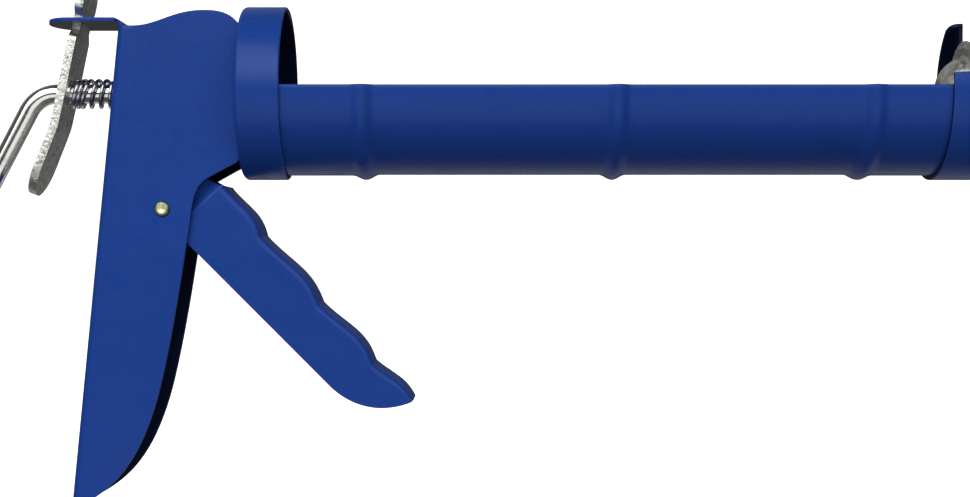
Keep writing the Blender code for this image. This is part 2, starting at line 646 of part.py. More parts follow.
# ---- rod and plunger ----
def build_rod(chrome, zinc, axis):
    z = BARREL_AXIS_Z
    bend = [
        Vector((x, 0, height))
        for x, height in arc(HOOK_START_X, z - HOOK_BEND_R, HOOK_BEND_R, 90 + HOOK_ANGLE, 90, 9)
    ]
    angle = math.radians(HOOK_ANGLE)
    down = Vector((-math.cos(angle), 0, -math.sin(angle)))
    tip = bend[0] + down * HOOK_LENGTH
    points = [tip, tip - down * 0.6] + bend
    radii = [ROD_R - 0.6] + [ROD_R] * (len(bend) + 1)
    shoulder = DISH_X - FIT
    washer_x = DISH_X + PLUNGER_WALL + FIT
    head_x = washer_x + PLUNGER_WASHER + FIT
    step_in = 0.02
    places = [(shoulder - step_in, ROD_R), (shoulder, ROD_END_R), (head_x - step_in, ROD_END_R),
              (head_x, ROD_END_R + 1.4), (head_x + 0.9, ROD_END_R + 1.1), (head_x + 1.5, ROD_END_R - 0.6)]
    for x, radius in places:
        points.append(Vector((x, 0, z)))
        radii.append(radius)
    finish("push_rod", tube_along(points, radii, 20), chrome, axis)

    back = DISH_X
    rear = [(back, ROD_END_R + RUN), (back, 4.0), (back + 0.5, 4.7), (back + 2.6, 7.4), (back + 4.9, 10.0),
            (back + 6.9, 11.5), (back + DISH_DEPTH, 12.2), (back + DISH_DEPTH, PLUNGER_R)]
    wall = PLUNGER_WALL
    front = [(back + DISH_DEPTH + wall, PLUNGER_R), (back + DISH_DEPTH + wall, 11.2), (back + 7.6, 10.4),
             (back + 5.9, 9.1), (back + 3.6, 6.6), (back + 1.5, 4.2), (back + wall, 3.9),
             (back + wall, ROD_END_R + RUN)]
    finish("plunger_disc", turned(rear + front, steps=32), zinc, axis)
    inner = ROD_END_R + RUN
    washer = turned(bored(washer_x, washer_x + PLUNGER_WASHER, inner, PLUNGER_WASHER_R), steps=24)
    finish("plunger_washer", washer, zinc, axis)


# ---- release lever and its spring ----
def lever_width(z):
    """Half width at a height: round foot, waist at the tongue, rounded head."""
    half = LEVER_HALF
    foot = z - LEVER_BOTTOM_Z
    if foot < half:
        return max(half * math.sqrt(max(1 - (1 - foot / half) ** 2, 0)), 2.0)
    head = LEVER_TOP_Z - z
    if head < LEVER_CORNER:
        return half - LEVER_CORNER + LEVER_CORNER * math.sqrt(max(1 - (1 - head / LEVER_CORNER) ** 2, 0))
    share = min(max((abs(z - TONGUE_Z) - 2.0) / 3.0, 0), 1)
    return LEVER_NECK_HALF + LEVER_NECK * share


def lever_back(z):
    """X of the lever's rear face at a height."""
    above = max(z, LEVER_BEND_Z) - BARREL_AXIS_Z
    below = min(z, LEVER_BEND_Z) - LEVER_BEND_Z
    return (LEVER_BACK_X + above * math.tan(math.radians(LEVER_LEAN))
            + below * math.tan(math.radians(LEVER_LOWER_LEAN)))


def build_release(zinc, steel, hinge):
    heights = [LEVER_BOTTOM_Z + LEVER_HALF * (1 - math.cos(math.radians(90 * k / 8))) for k in range(9)]
    heights += [LEVER_BEND_Z - 1.5, LEVER_BEND_Z, LEVER_BEND_Z + 1.5]
    heights += [TONGUE_Z + k for k in (-5, -2, 2, 5)]
    heights += [LEVER_TOP_Z - LEVER_CORNER * (1 - math.sin(math.radians(90 * k / 4))) for k in range(5)]
    mesh = bmesh.new()
    rings = []
    for z in heights:
        across = lever_width(z)
        x = lever_back(z)
        ring = [(x, -across), (x + LEVER_THICKNESS, -across), (x + LEVER_THICKNESS, across), (x, across)]
        rings.append([mesh.verts.new((px, py, z)) for px, py in ring])
    for one, two in zip(rings, rings[1:]):
        for k in range(4):
            mesh.faces.new((one[k], one[(k + 1) % 4], two[(k + 1) % 4], two[k]))
    mesh.faces.new(rings[0])
    mesh.faces.new(rings[-1])
    lever = finish("release_lever", mesh, zinc, hinge, smooth=False)
    hole = cylinder(0, BARREL_AXIS_Z, ROD_R + LEVER_HOLE_GAP, LEVER_BACK_X - 8, LEVER_BACK_X + 10, "X")
    combine(lever, finish("lever_hole", hole, parent=hinge), "DIFFERENCE")

    # the spring's closed coils lie against the leaning lever and straighten towards the handle
    wire = RELEASE_WIRE / 2
    radius = RELEASE_SPRING_R - wire
    lean = math.tan(math.radians(LEVER_LEAN))
    start = LEVER_BACK_X + LEVER_THICKNESS + FIT + wire
    end = back_x(BARREL_AXIS_Z) - FIT - wire - 0.4
    turns = RELEASE_CLOSE_TURNS + RELEASE_OPEN_TURNS
    close_pitch = RELEASE_WIRE + RELEASE_CLOSE_GAP
    close_end = start + close_pitch * RELEASE_CLOSE_TURNS
    count = int(turns * 12)
    points = []
    for step in range(count + 1):
        turn = turns * step / count
        if turn < RELEASE_CLOSE_TURNS:
            along = start + close_pitch * turn
            tilt = lean
        else:
            share = (turn - RELEASE_CLOSE_TURNS) / RELEASE_OPEN_TURNS
            along = close_end + (end - close_end) * share
            tilt = lean * (1 - share)
        angle = 2 * math.pi * turn
        rise = radius * math.cos(angle)
        points.append(Vector((along + tilt * rise, radius * math.sin(angle), BARREL_AXIS_Z + rise)))
    finish("release_spring", tube_along(points, [wire] * len(points), 6), steel, hinge)


def main():
    clear_scene()
    paint = material("blue_paint", (0.019, 0.05, 0.26), 0.0, 0.25)
    zinc = material("zinc_plate", (0.62, 0.63, 0.58), 1.0, 0.38)
    yellow_zinc = material("yellow_zinc", (0.62, 0.58, 0.28), 1.0, 0.35)
    chrome = material("polished_steel", (0.72, 0.72, 0.73), 1.0, 0.15)
    steel = material("spring_steel", (0.25, 0.25, 0.26), 1.0, 0.35)

    pivot = empty_at("trigger_axis", 0, 0)
    drive = empty_at("drive_axis", DOG_X, BARREL_AXIS_Z)
    axis = empty_at("rod_axis", DISH_X, BARREL_AXIS_Z)
    hinge = empty_at("release_axis", LEVER_SLOT_X + LEVER_THICKNESS / 2, TONGUE_Z)

    build_handle(paint)
    build_rear_cup(paint)
    build_cradle(paint)
    build_front_cap(paint)
    build_trigger(paint, pivot)
    build_pivot(zinc, yellow_zinc, pivot)
    build_drive(steel, zinc, drive)
    build_rod(chrome, zinc, axis)
    build_release(zinc, steel, hinge)


main()
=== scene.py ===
"""Looks of the half-barrel caulking gun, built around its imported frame.

Every new piece is a surface worked out as whole numpy arrays in millimetres, in the frame's
own axes: +X towards the nozzle, +Z up, +Y across the tool, origin in the trigger's pivot.
"""

from __future__ import annotations

import logging
import math
from collections.abc import Callable
from dataclasses import dataclass
from enum import Enum

import bmesh
import bpy
import numpy as np
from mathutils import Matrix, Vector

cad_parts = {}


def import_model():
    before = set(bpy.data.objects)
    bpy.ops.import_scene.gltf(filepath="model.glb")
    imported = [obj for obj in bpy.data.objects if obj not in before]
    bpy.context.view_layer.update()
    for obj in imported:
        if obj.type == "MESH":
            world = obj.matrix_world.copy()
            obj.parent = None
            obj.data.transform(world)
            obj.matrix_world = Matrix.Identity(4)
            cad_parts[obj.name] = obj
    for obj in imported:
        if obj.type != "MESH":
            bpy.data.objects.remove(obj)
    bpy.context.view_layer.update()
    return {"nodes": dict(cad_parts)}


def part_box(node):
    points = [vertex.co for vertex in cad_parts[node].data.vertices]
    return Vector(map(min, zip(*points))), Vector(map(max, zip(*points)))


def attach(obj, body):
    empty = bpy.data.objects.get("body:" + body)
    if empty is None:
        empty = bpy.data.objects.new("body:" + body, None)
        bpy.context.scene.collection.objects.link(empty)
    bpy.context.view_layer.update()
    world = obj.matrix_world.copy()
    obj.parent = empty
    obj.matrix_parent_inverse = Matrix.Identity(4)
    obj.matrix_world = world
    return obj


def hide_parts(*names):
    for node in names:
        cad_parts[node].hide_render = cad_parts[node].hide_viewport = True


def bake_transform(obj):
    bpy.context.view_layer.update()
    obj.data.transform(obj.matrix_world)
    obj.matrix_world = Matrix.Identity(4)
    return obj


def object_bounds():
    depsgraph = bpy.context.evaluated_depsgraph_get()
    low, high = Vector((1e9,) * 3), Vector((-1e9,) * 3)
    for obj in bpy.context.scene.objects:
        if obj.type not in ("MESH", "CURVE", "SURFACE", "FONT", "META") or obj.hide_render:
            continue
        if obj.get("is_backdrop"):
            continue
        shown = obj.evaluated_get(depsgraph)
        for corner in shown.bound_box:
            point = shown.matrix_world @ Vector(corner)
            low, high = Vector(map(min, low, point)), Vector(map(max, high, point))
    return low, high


LOG = logging.getLogger("caulking_gun")
MM = 0.001
Array = np.ndarray


class Finish(Enum):
    """The finishes of the gun; the first six are also the record's slots."""

    PAINT = "blue_paint"
    ZINC = "zinc_plate"
    YELLOW_ZINC = "yellow_zinc"
    ROD = "polished_rod"
    HARDENED = "hardened_steel"
    WIRE = "spring_wire"
    # near-black copy of the blue paint for inner faces and the front cap's cut rims: painted shade inside the
    # sheet-metal parts
    PAINTED_SHADE_INSIDE = "blue_paint_painted_shade_inside"
    SHEARED_ZINC = "zinc_plate_sheared"
    # darker yellow zinc for the outer ring of the rivet heads: painted shade at their rims
    RIVET_RIM_SHADE = "yellow_zinc_rim_painted_shade"


class Body(Enum):
    """The moving bodies of the frame."""

    FRAME = "frame"
    TRIGGER = "trigger"
    DRIVE = "drive"
    PLUNGER = "plunger"
    ROD = "rod"
    RELEASE = "release"


# ------------------------------------------------------------------ materials


@dataclass
class NodeSheet:
    """A material under construction, with short calls for the nodes it needs."""

    name: str

    def __post_init__(self) -> None:
        """Starts the material with its principled shader."""
        self.material = bpy.data.materials.new(self.name)
        self.material.use_nodes = True
        self.tree = self.material.node_tree
        self.shader = self.tree.nodes["Principled BSDF"]
        self.place = self.tree.nodes.new("ShaderNodeTexCoord").outputs["Object"]

    def link(self, source: bpy.types.NodeSocket, target: bpy.types.NodeSocket) -> None:
        """Joins two sockets."""
        self.tree.links.new(source, target)

    def set(self, **values: float | tuple[float, ...]) -> None:
        """Sets plain values on the principled shader, with _ for a space in a socket's name."""
        for key, value in values.items():
            self.shader.inputs[key.replace("_", " ")].default_value = value

    def stretched(self, scale: tuple[float, float, float]) -> bpy.types.NodeSocket:
        """Object coordinates scaled differently along each axis.

        Args:
            scale: How much finer the pattern is along X, Y and Z.

        Returns:
            The vector socket.
        """
        node = self.tree.nodes.new("ShaderNodeMapping")
        node.inputs["Scale"].default_value = scale
        self.link(self.place, node.inputs["Vector"])
        return node.outputs["Vector"]

    def noise(
        self, scale: float, detail: float = 3.0, vector: bpy.types.NodeSocket | None = None,
        roughness: float = 0.5,
    ) -> bpy.types.NodeSocket:
        """A noise value between about 0.3 and 0.7.

        Args:
            scale: Cells per metre.
            detail: Number of finer layers.
            vector: Coordinates, if not the plain Object ones.
            roughness: Strength of the finer layers.

        Returns:
            The value socket.
        """
        node = self.tree.nodes.new("ShaderNodeTexNoise")
        node.inputs["Scale"].default_value = scale
        node.inputs["Detail"].default_value = detail
        node.inputs["Roughness"].default_value = roughness
        self.link(vector or self.place, node.inputs["Vector"])
        return node.outputs["Fac"]

    def cells(self, scale: float) -> bpy.types.NodeSocket:
        """Distance from the centres of irregular cells, such as crystals of zinc."""
        node = self.tree.nodes.new("ShaderNodeTexVoronoi")
        node.inputs["Scale"].default_value = scale
        self.link(self.place, node.inputs["Vector"])
        return node.outputs["Distance"]

    def ramp(
        self, value: bpy.types.NodeSocket, stops: list[tuple[float, tuple[float, float, float]]]
    ) -> bpy.types.NodeSocket:
        """A value turned into a colour.

        Args:
            value: The number to look up.
            stops: Positions and linear colours, in rising order.

        Returns:
            The colour socket.
        """
        node = self.tree.nodes.new("ShaderNodeValToRGB")
        while len(node.color_ramp.elements) < len(stops):
            node.color_ramp.elements.new(1.0)
        for element, (position, color) in zip(node.color_ramp.elements, stops):
            element.position = position
            element.color = (*color, 1.0)
        self.link(value, node.inputs["Fac"])
        return node.outputs["Color"]

    def span(self, value: bpy.types.NodeSocket, low: float, high: float) -> bpy.types.NodeSocket:
        """A value from 0.3 to 0.7 moved to the range from low to high."""
        node = self.tree.nodes.new("ShaderNodeMapRange")
        for key, number in (("From Min", 0.3), ("From Max", 0.7), ("To Min", low), ("To Max", high)):
            node.inputs[key].default_value = number
        self.link(value, node.inputs["Value"])
        return node.outputs["Result"]

    def bump(self, layers: list[tuple[bpy.types.NodeSocket, float]]) -> None:
        """Chains height fields into the shader's normal.

        Args:
            layers: Each height and how deep it is, in metres.
        """
        last = None
        for height, depth in layers:
            node = self.tree.nodes.new("ShaderNodeBump")
            node.inputs["Strength"].default_value = 1.0
            node.inputs["Distance"].default_value = depth
            self.link(height, node.inputs["Height"])
            if last:
                self.link(last, node.inputs["Normal"])
            last = node.outputs["Normal"]
        self.link(last, self.shader.inputs["Normal"])


@dataclass(frozen=True)
class BakedEnamel:
    """Glossy blue stoving paint on pressed sheet, with a faint orange peel."""

    finish: Finish = Finish.PAINT
    deep: tuple[float, float, float] = (0.0098, 0.0455, 0.250)
    full: tuple[float, float, float] = (0.0105, 0.0475, 0.262)
    thin: tuple[float, float, float] = (0.0113, 0.0497, 0.274)
    rough_low: float = 0.24
    rough_high: float = 0.34
    peel_depth: float = 0.00002

    def build(self) -> bpy.types.Material:
        """Makes the material.

        Returns:
            The material, with its nodes.
        """
        sheet = NodeSheet(self.finish.value)
        cloud = sheet.noise(24.0, 6.0, roughness=0.7)
        color = sheet.ramp(cloud, [(0.30, self.deep), (0.5, self.full), (0.72, self.thin)])
        sheet.link(color, sheet.shader.inputs["Base Color"])
        gloss = sheet.span(sheet.noise(150.0, 5.0), self.rough_low, self.rough_high)
        sheet.link(gloss, sheet.shader.inputs["Roughness"])
        sheet.set(Specular_IOR_Level=0.14, Coat_Weight=0.02, Coat_Roughness=0.10)
        sheet.bump([(sheet.noise(520.0, 2.0), self.peel_depth)])
        return sheet.material


@dataclass(frozen=True)
class ZincPlating:
    """Bright zinc with a grainy, slightly mottled surface."""

    finish: Finish = Finish.ZINC
    dark: tuple[float, float, float] = (0.40, 0.42, 0.39)
    light: tuple[float, float, float] = (0.90, 0.91, 0.83)
    rough_low: float = 0.26
    rough_high: float = 0.52
    grain_depth: float = 0.00010

    def build(self) -> bpy.types.Material:
        """Makes the material.

        Returns:
            The material, with its nodes.
        """
        sheet = NodeSheet(self.finish.value)
        middle = tuple((a + 2 * b) / 3 for a, b in zip(self.dark, self.light))
        mottle = sheet.noise(520.0, 5.0, roughness=0.65)
        color = sheet.ramp(mottle, [(0.30, self.dark), (0.45, middle), (0.66, self.light)])
        sheet.link(color, sheet.shader.inputs["Base Color"])
        sheet.link(
            sheet.span(sheet.noise(800.0, 3.0), self.rough_low, self.rough_high),
            sheet.shader.inputs["Roughness"],
        )
        sheet.set(Metallic=1.0)
        sheet.bump([
            (sheet.cells(900.0), self.grain_depth * 0.6),
            (sheet.noise(1500.0, 4.0), self.grain_depth),
        ])
        return sheet.material


@dataclass(frozen=True)
class DrawnBar:
    """Polished drawn steel, with fine lines along its length and faint handling marks."""

    finish: Finish = Finish.ROD
    dark: tuple[float, float, float] = (0.66, 0.65, 0.64)
    light: tuple[float, float, float] = (0.93, 0.92, 0.91)
    rough_low: float = 0.06
    rough_high: float = 0.15

    def build(self) -> bpy.types.Material:
        """Makes the material.

        Returns:
            The material, with its nodes.
        """
        sheet = NodeSheet(self.finish.value)
        lines = sheet.noise(260.0, 4.0, sheet.stretched((0.05, 6.0, 6.0)))
        marks = sheet.noise(140.0, 5.0)
        color = sheet.ramp(marks, [(0.30, self.dark), (0.42, self.light), (0.8, self.light)])
        sheet.link(color, sheet.shader.inputs["Base Color"])
        sheet.link(sheet.span(lines, self.rough_low, self.rough_high), sheet.shader.inputs["Roughness"])
        sheet.set(Metallic=1.0)
        sheet.bump([(lines, 0.00001), (marks, 0.00002)])
        return sheet.material


def build_finishes() -> dict[Finish, bpy.types.Material]:
    """Makes every finish once.

    Returns:
        The material of each finish.
    """
    makers = {
        Finish.PAINT: BakedEnamel(),
        Finish.ZINC: ZincPlating(),
        Finish.YELLOW_ZINC: ZincPlating(
            Finish.YELLOW_ZINC, dark=(0.34, 0.36, 0.20), light=(0.80, 0.84, 0.52), grain_depth=0.00004
        ),
        # Much darker yellow zinc for the outer ring of the rivet heads: painted shade at their rims.
        Finish.RIVET_RIM_SHADE: ZincPlating(
            Finish.RIVET_RIM_SHADE, dark=(0.09, 0.12, 0.06), light=(0.26, 0.32, 0.18), grain_depth=0.00004
        ),
        Finish.SHEARED_ZINC: ZincPlating(
            Finish.SHEARED_ZINC, dark=(0.34, 0.35, 0.32), light=(0.80, 0.80, 0.74),
            rough_low=0.24, grain_depth=0.00013,
        ),
        # The blue paint made near black: painted shade for the inner faces of the pressed parts.
        Finish.PAINTED_SHADE_INSIDE: BakedEnamel(
            Finish.PAINTED_SHADE_INSIDE, deep=(0.0030, 0.006, 0.022), full=(0.0036, 0.008, 0.030),
            thin=(0.0044, 0.010, 0.038),
        ),
        Finish.ROD: DrawnBar(),
        Finish.HARDENED: DrawnBar(
            Finish.HARDENED, dark=(0.10, 0.10, 0.105), light=(0.30, 0.30, 0.31),
            rough_low=0.25, rough_high=0.45,
        ),
        Finish.WIRE: DrawnBar(
            Finish.WIRE, dark=(0.22, 0.22, 0.23), light=(0.62, 0.62, 0.63), rough_low=0.15, rough_high=0.28
        ),
    }
    return {finish: maker.build() for finish, maker in makers.items()}


# ------------------------------------------------------------------ surfaces


def surface(
    name: str, points: Array, close_rows: bool = False, close_columns: bool = False
) -> bpy.types.Object:
    """A grid of points in millimetres made into a mesh object of quads.

    Args:
        name: The object's name.
        points: Rows by columns by 3.
        close_rows: Whether the last row joins the first.
        close_columns: Whether the last column joins the first.

    Returns:
        The object, smooth-shaded, with coincident points merged.
    """
    rows, columns = points.shape[:2]
    index = np.arange(rows * columns).reshape(rows, columns)
    if close_rows:
        index = np.vstack([index, index[:1]])
    if close_columns:
        index = np.hstack([index, index[:, :1]])
    quads = np.stack([index[:-1, :-1], index[1:, :-1], index[1:, 1:], index[:-1, 1:]], axis=-1).reshape(-1, 4)
    mesh = bpy.data.meshes.new(name)
    mesh.from_pydata((points.reshape(-1, 3) * MM).tolist(), [], quads.tolist())
    return settled(name, mesh)


def settled(name: str, mesh: bpy.types.Mesh) -> bpy.types.Object:
    """Merges coincident points, turns faces outwards and wraps the mesh in an object.

    Args:
        name: The object's name.
        mesh: The mesh to settle.

    Returns:
        The object, smooth-shaded.
    """
    work = bmesh.new()
    work.from_mesh(mesh)
    bmesh.ops.remove_doubles(work, verts=work.verts, dist=2e-6)
    bmesh.ops.recalc_face_normals(work, faces=work.faces)
    work.to_mesh(mesh)
    work.free()
    mesh.shade_smooth()
    obj = bpy.data.objects.new(name, mesh)
    bpy.context.scene.collection.objects.link(obj)
    return obj


def facing(obj: bpy.types.Object, outside: Callable[[Array, Array], Array]) -> None:
    """Turns an open sheet's faces so that they mostly point the stated way.

    Args:
        obj: The sheet.
        outside: Given the face centres and normals, the agreement of each with the outside.
    """
    mesh = obj.data
    centres = np.empty(len(mesh.polygons) * 3)
    normals = np.empty(len(mesh.polygons) * 3)
    mesh.polygons.foreach_get("center", centres)
    mesh.polygons.foreach_get("normal", normals)
    if np.sum(outside(centres.reshape(-1, 3), normals.reshape(-1, 3))) < 0:
        mesh.flip_normals()


def mark_second(obj: bpy.types.Object, where: Callable[[Array], Array]) -> None:
    """Gives some faces the object's second finish.

    Args:
        obj: The piece.
        where: Given the face centres in millimetres, which faces take it.
    """
    centres = np.empty(len(obj.data.polygons) * 3)
    obj.data.polygons.foreach_get("center", centres)
    obj.data.polygons.foreach_set("material_index", where(centres.reshape(-1, 3) / MM).astype(np.int32))


def sheet_metal(
    obj: bpy.types.Object, wall: float, edge: float = 0.28, inside: int = 0, rim: int = 0
) -> bpy.types.Object:
    """Gives an outer skin its wall, inwards, and rounds the sheet's cut edges.

    Args:
        obj: The outer skin.
        wall: Sheet thickness in millimetres.
        edge: Radius of the cut edges in millimetres.
        inside: How many material slots further on the inner faces' finish is.
        rim: The same for the cut edges.

    Returns:
        The same object.
    """
    solid = obj.modifiers.new("sheet", "SOLIDIFY")
    solid.thickness = wall * MM
    solid.offset = -1.0
    solid.use_even_offset = False
    solid.material_offset = inside
    solid.material_offset_rim = rim
    bevel = obj.modifiers.new("edges", "BEVEL")
    bevel.width = edge * MM
    bevel.segments = 2
    bevel.limit_method = "ANGLE"
    bevel.angle_limit = math.radians(50)
    bevel.harden_normals = False
    return obj


def turned(
    name: str, profile: Array, axis_z: float, steps: int = 96, axis: str = "X"
) -> bpy.types.Object:
    """A closed profile of (along, radius) carried round an axis.

    Each point sits at its distance along the axis, and at radius times the sine and cosine
    of the turn from it.

    Args:
        name: The object's name.
        profile: Points by 2, closed on itself.
        axis_z: Height of the axis.
        steps: Divisions of the circle.
        axis: X for the barrel's axis, Y for a cross pin's.

    Returns:
        The object.
    """
    turn = np.linspace(0, 2 * np.pi, steps, endpoint=False)[:, None]
    along = np.broadcast_to(profile[:, 0], (steps, len(profile)))
    out = profile[:, 1][None, :]
    if axis == "X":
        points = np.stack([along, out * np.sin(turn), axis_z - out * np.cos(turn)], axis=-1)
    else:
        points = np.stack([out * np.sin(turn), along, axis_z - out * np.cos(turn)], axis=-1)
    return surface(name, points, close_rows=True, close_columns=True)


def rounded(points: list[tuple[float, float]], radius: float, steps: int = 4) -> Array:
    """A closed outline whose corners are rounded with quadratic curves.

    Args:
        points: Corners in order.
        radius: How far from each corner the curve starts, at most 0.45 of the side.
        steps: Points on each curve.

    Returns:
        The outline, points by 2.
    """
    corners = np.array(points, float)
    before = np.roll(corners, 1, axis=0) - corners
    after = np.roll(corners, -1, axis=0) - corners
    length_b = np.linalg.norm(before, axis=1, keepdims=True)
    length_a = np.linalg.norm(after, axis=1, keepdims=True)
    start = corners + before / length_b * np.minimum(radius, 0.45 * length_b)
    end = corners + after / length_a * np.minimum(radius, 0.45 * length_a)
    t = np.linspace(0, 1, steps + 1)[None, :, None]
    curve = (1 - t) ** 2 * start[:, None] + 2 * t * (1 - t) * corners[:, None] + t * t * end[:, None]
    return curve.reshape(-1, 2)


def bezier(points: tuple[tuple[float, float], ...], count: int) -> Array:
    """A cubic curve through its end points: the usual weights on its four points."""
    t = np.linspace(0, 1, count + 1)[:, None]
    weights = np.hstack([(1 - t) ** 3, 3 * t * (1 - t) ** 2, 3 * t * t * (1 - t), t ** 3])
    return weights @ np.array(points, float)


def tube(name: str, path: Array, radii: Array, sides: int = 24) -> bpy.types.Object:
    """A round bar: at each path point a circle across the path, closed by its end points.

    The circle's first direction is carried along so that it never twists sharply: each
    frame is the last one with its part along the new tangent removed.

    Args:
        name: The object's name.
        path: Points by 3.
        radii: One radius per point; end caps are fans to the path's ends.
        sides: Divisions of the circle.

    Returns:
        The object.
    """
    tangent = np.gradient(path, axis=0)
    tangent /= np.linalg.norm(tangent, axis=1, keepdims=True)
    normal = np.empty_like(path)
    first = np.cross(tangent[0], (0.0, 1.0, 0.0))
    if np.linalg.norm(first) < 0.1:
        first = np.cross(tangent[0], (0.0, 0.0, 1.0))
    normal[0] = first / np.linalg.norm(first)
    for i in range(1, len(path)):
        carried = normal[i - 1] - tangent[i] * np.dot(normal[i - 1], tangent[i])
        normal[i] = carried / np.linalg.norm(carried)
    side = np.cross(tangent, normal)
    turn = np.linspace(0, 2 * np.pi, sides, endpoint=False)[None, :, None]
    ring = normal[:, None] * np.cos(turn) + side[:, None] * np.sin(turn)
    points = path[:, None] + radii[:, None, None] * ring
    ends = [np.repeat(path[i][None, None], sides, axis=1) for i in (0, -1)]
    return surface(name, np.concatenate([ends[0], points, ends[1]]), close_columns=True)


def u_section(across: Array, depth: Array, half: float, bend: float) -> tuple[Array, Array]:
    """Places along a folded sheet's section: half the web, the bend, then the wall.

    The distance from the web's middle is across times the section's whole length. Up to the
    bend it runs sideways, in the bend it follows the circle, and past it runs inwards.

    Args:
        across: From -1 to 1, right wall's edge to left wall's edge, 1 by columns.
        depth: How deep the channel is in each row, rows by 1.
        half: Half the channel's outer width.
        bend: Outer radius of the fold.

    Returns:
        The depth and the sideways place of each point, rows by columns.
    """
    flat = half - bend
    turned_by = np.arccos(np.clip(1 - depth / bend, -1, 1))
    turned_by = np.where(depth < bend, turned_by, np.pi / 2)
    length = flat + bend * turned_by + np.maximum(depth - bend, 0)
    distance = np.abs(across) * length
    angle = np.clip((distance - flat) / bend, 0, turned_by)
    inward = bend * (1 - np.cos(angle)) + np.maximum(distance - flat - bend * np.pi / 2, 0)
    sideways = np.minimum(distance, flat) + bend * np.sin(angle)
    return np.minimum(inward, depth), np.sign(across) * sideways


# ------------------------------------------------------------------ the gun's parts


@dataclass
class Layout:
    """Places read from the frame, in millimetres."""

    finishes: dict[Finish, bpy.types.Material]

    def __post_init__(self) -> None:
        """Reads the boxes that the pieces are placed from."""
        cup_low, cup_high = self.box("rear_cup")
        cap_low, cap_high = self.box("front_cap")
        self.axis_z = (cup_low[2] + cup_high[2]) / 2
        self.barrel_r = (cup_high[2] - cup_low[2]) / 2
        self.cup_back, self.cup_rim = cup_low[0], cup_high[0]
        self.cap_back, self.cap_front = cap_low[0], cap_high[0] - 0.02

    def box(self, node: str) -> tuple[Array, Array]:
        """Lowest and highest corner of a CAD node in millimetres."""
        low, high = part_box(node)
        return np.array(low) / MM, np.array(high) / MM

    def dress(
        self, obj: bpy.types.Object, finish: Finish, body: Body, *nodes: str, second: Finish | None = None
    ) -> bpy.types.Object:
        """Gives a piece its finish, slot and body, and hides the nodes it stands for.

        Args:
            obj: The piece.
            finish: Its finish.
            body: The body it moves with.
            nodes: CAD nodes that it replaces.
            second: The finish of its inner faces, rim or edge, where that differs.

        Returns:
            The piece.
        """
        self.slotted(obj, finish, *nodes)
        if second:
            obj.data.materials.append(self.finishes[second])
        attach(obj, body.value)
        LOG.info("%s: %d faces on %s", obj.name, len(obj.data.polygons), body.value)
        return obj

    def slotted(self, obj: bpy.types.Object, finish: Finish, *nodes: str) -> None:
        """Gives a piece its finish and slot, and hides the nodes it stands for."""
        obj.data.materials.clear()
        obj.data.materials.append(self.finishes[finish])
        if nodes:
            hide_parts(*nodes)

    def spring_between(
        self, coil: bpy.types.Object, moving: Body, start: float, end: float, node: str
    ) -> bpy.types.Object:
        """A spring on the barrel's axis, given the wire finish in place of its CAD node; it is joined to no
        body.

        Args:
            coil: The spring.
            moving: The body named in the log line.
            start: X of the moving end; not used.
            end: X of the standing end; not used.
            node: The CAD node that it replaces.

        Returns:
            The spring.
        """
        self.slotted(coil, Finish.WIRE, node)
        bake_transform(coil)
        LOG.info("%s: %d faces between %s and frame", coil.name, len(coil.data.polygons), moving.value)
        return coil


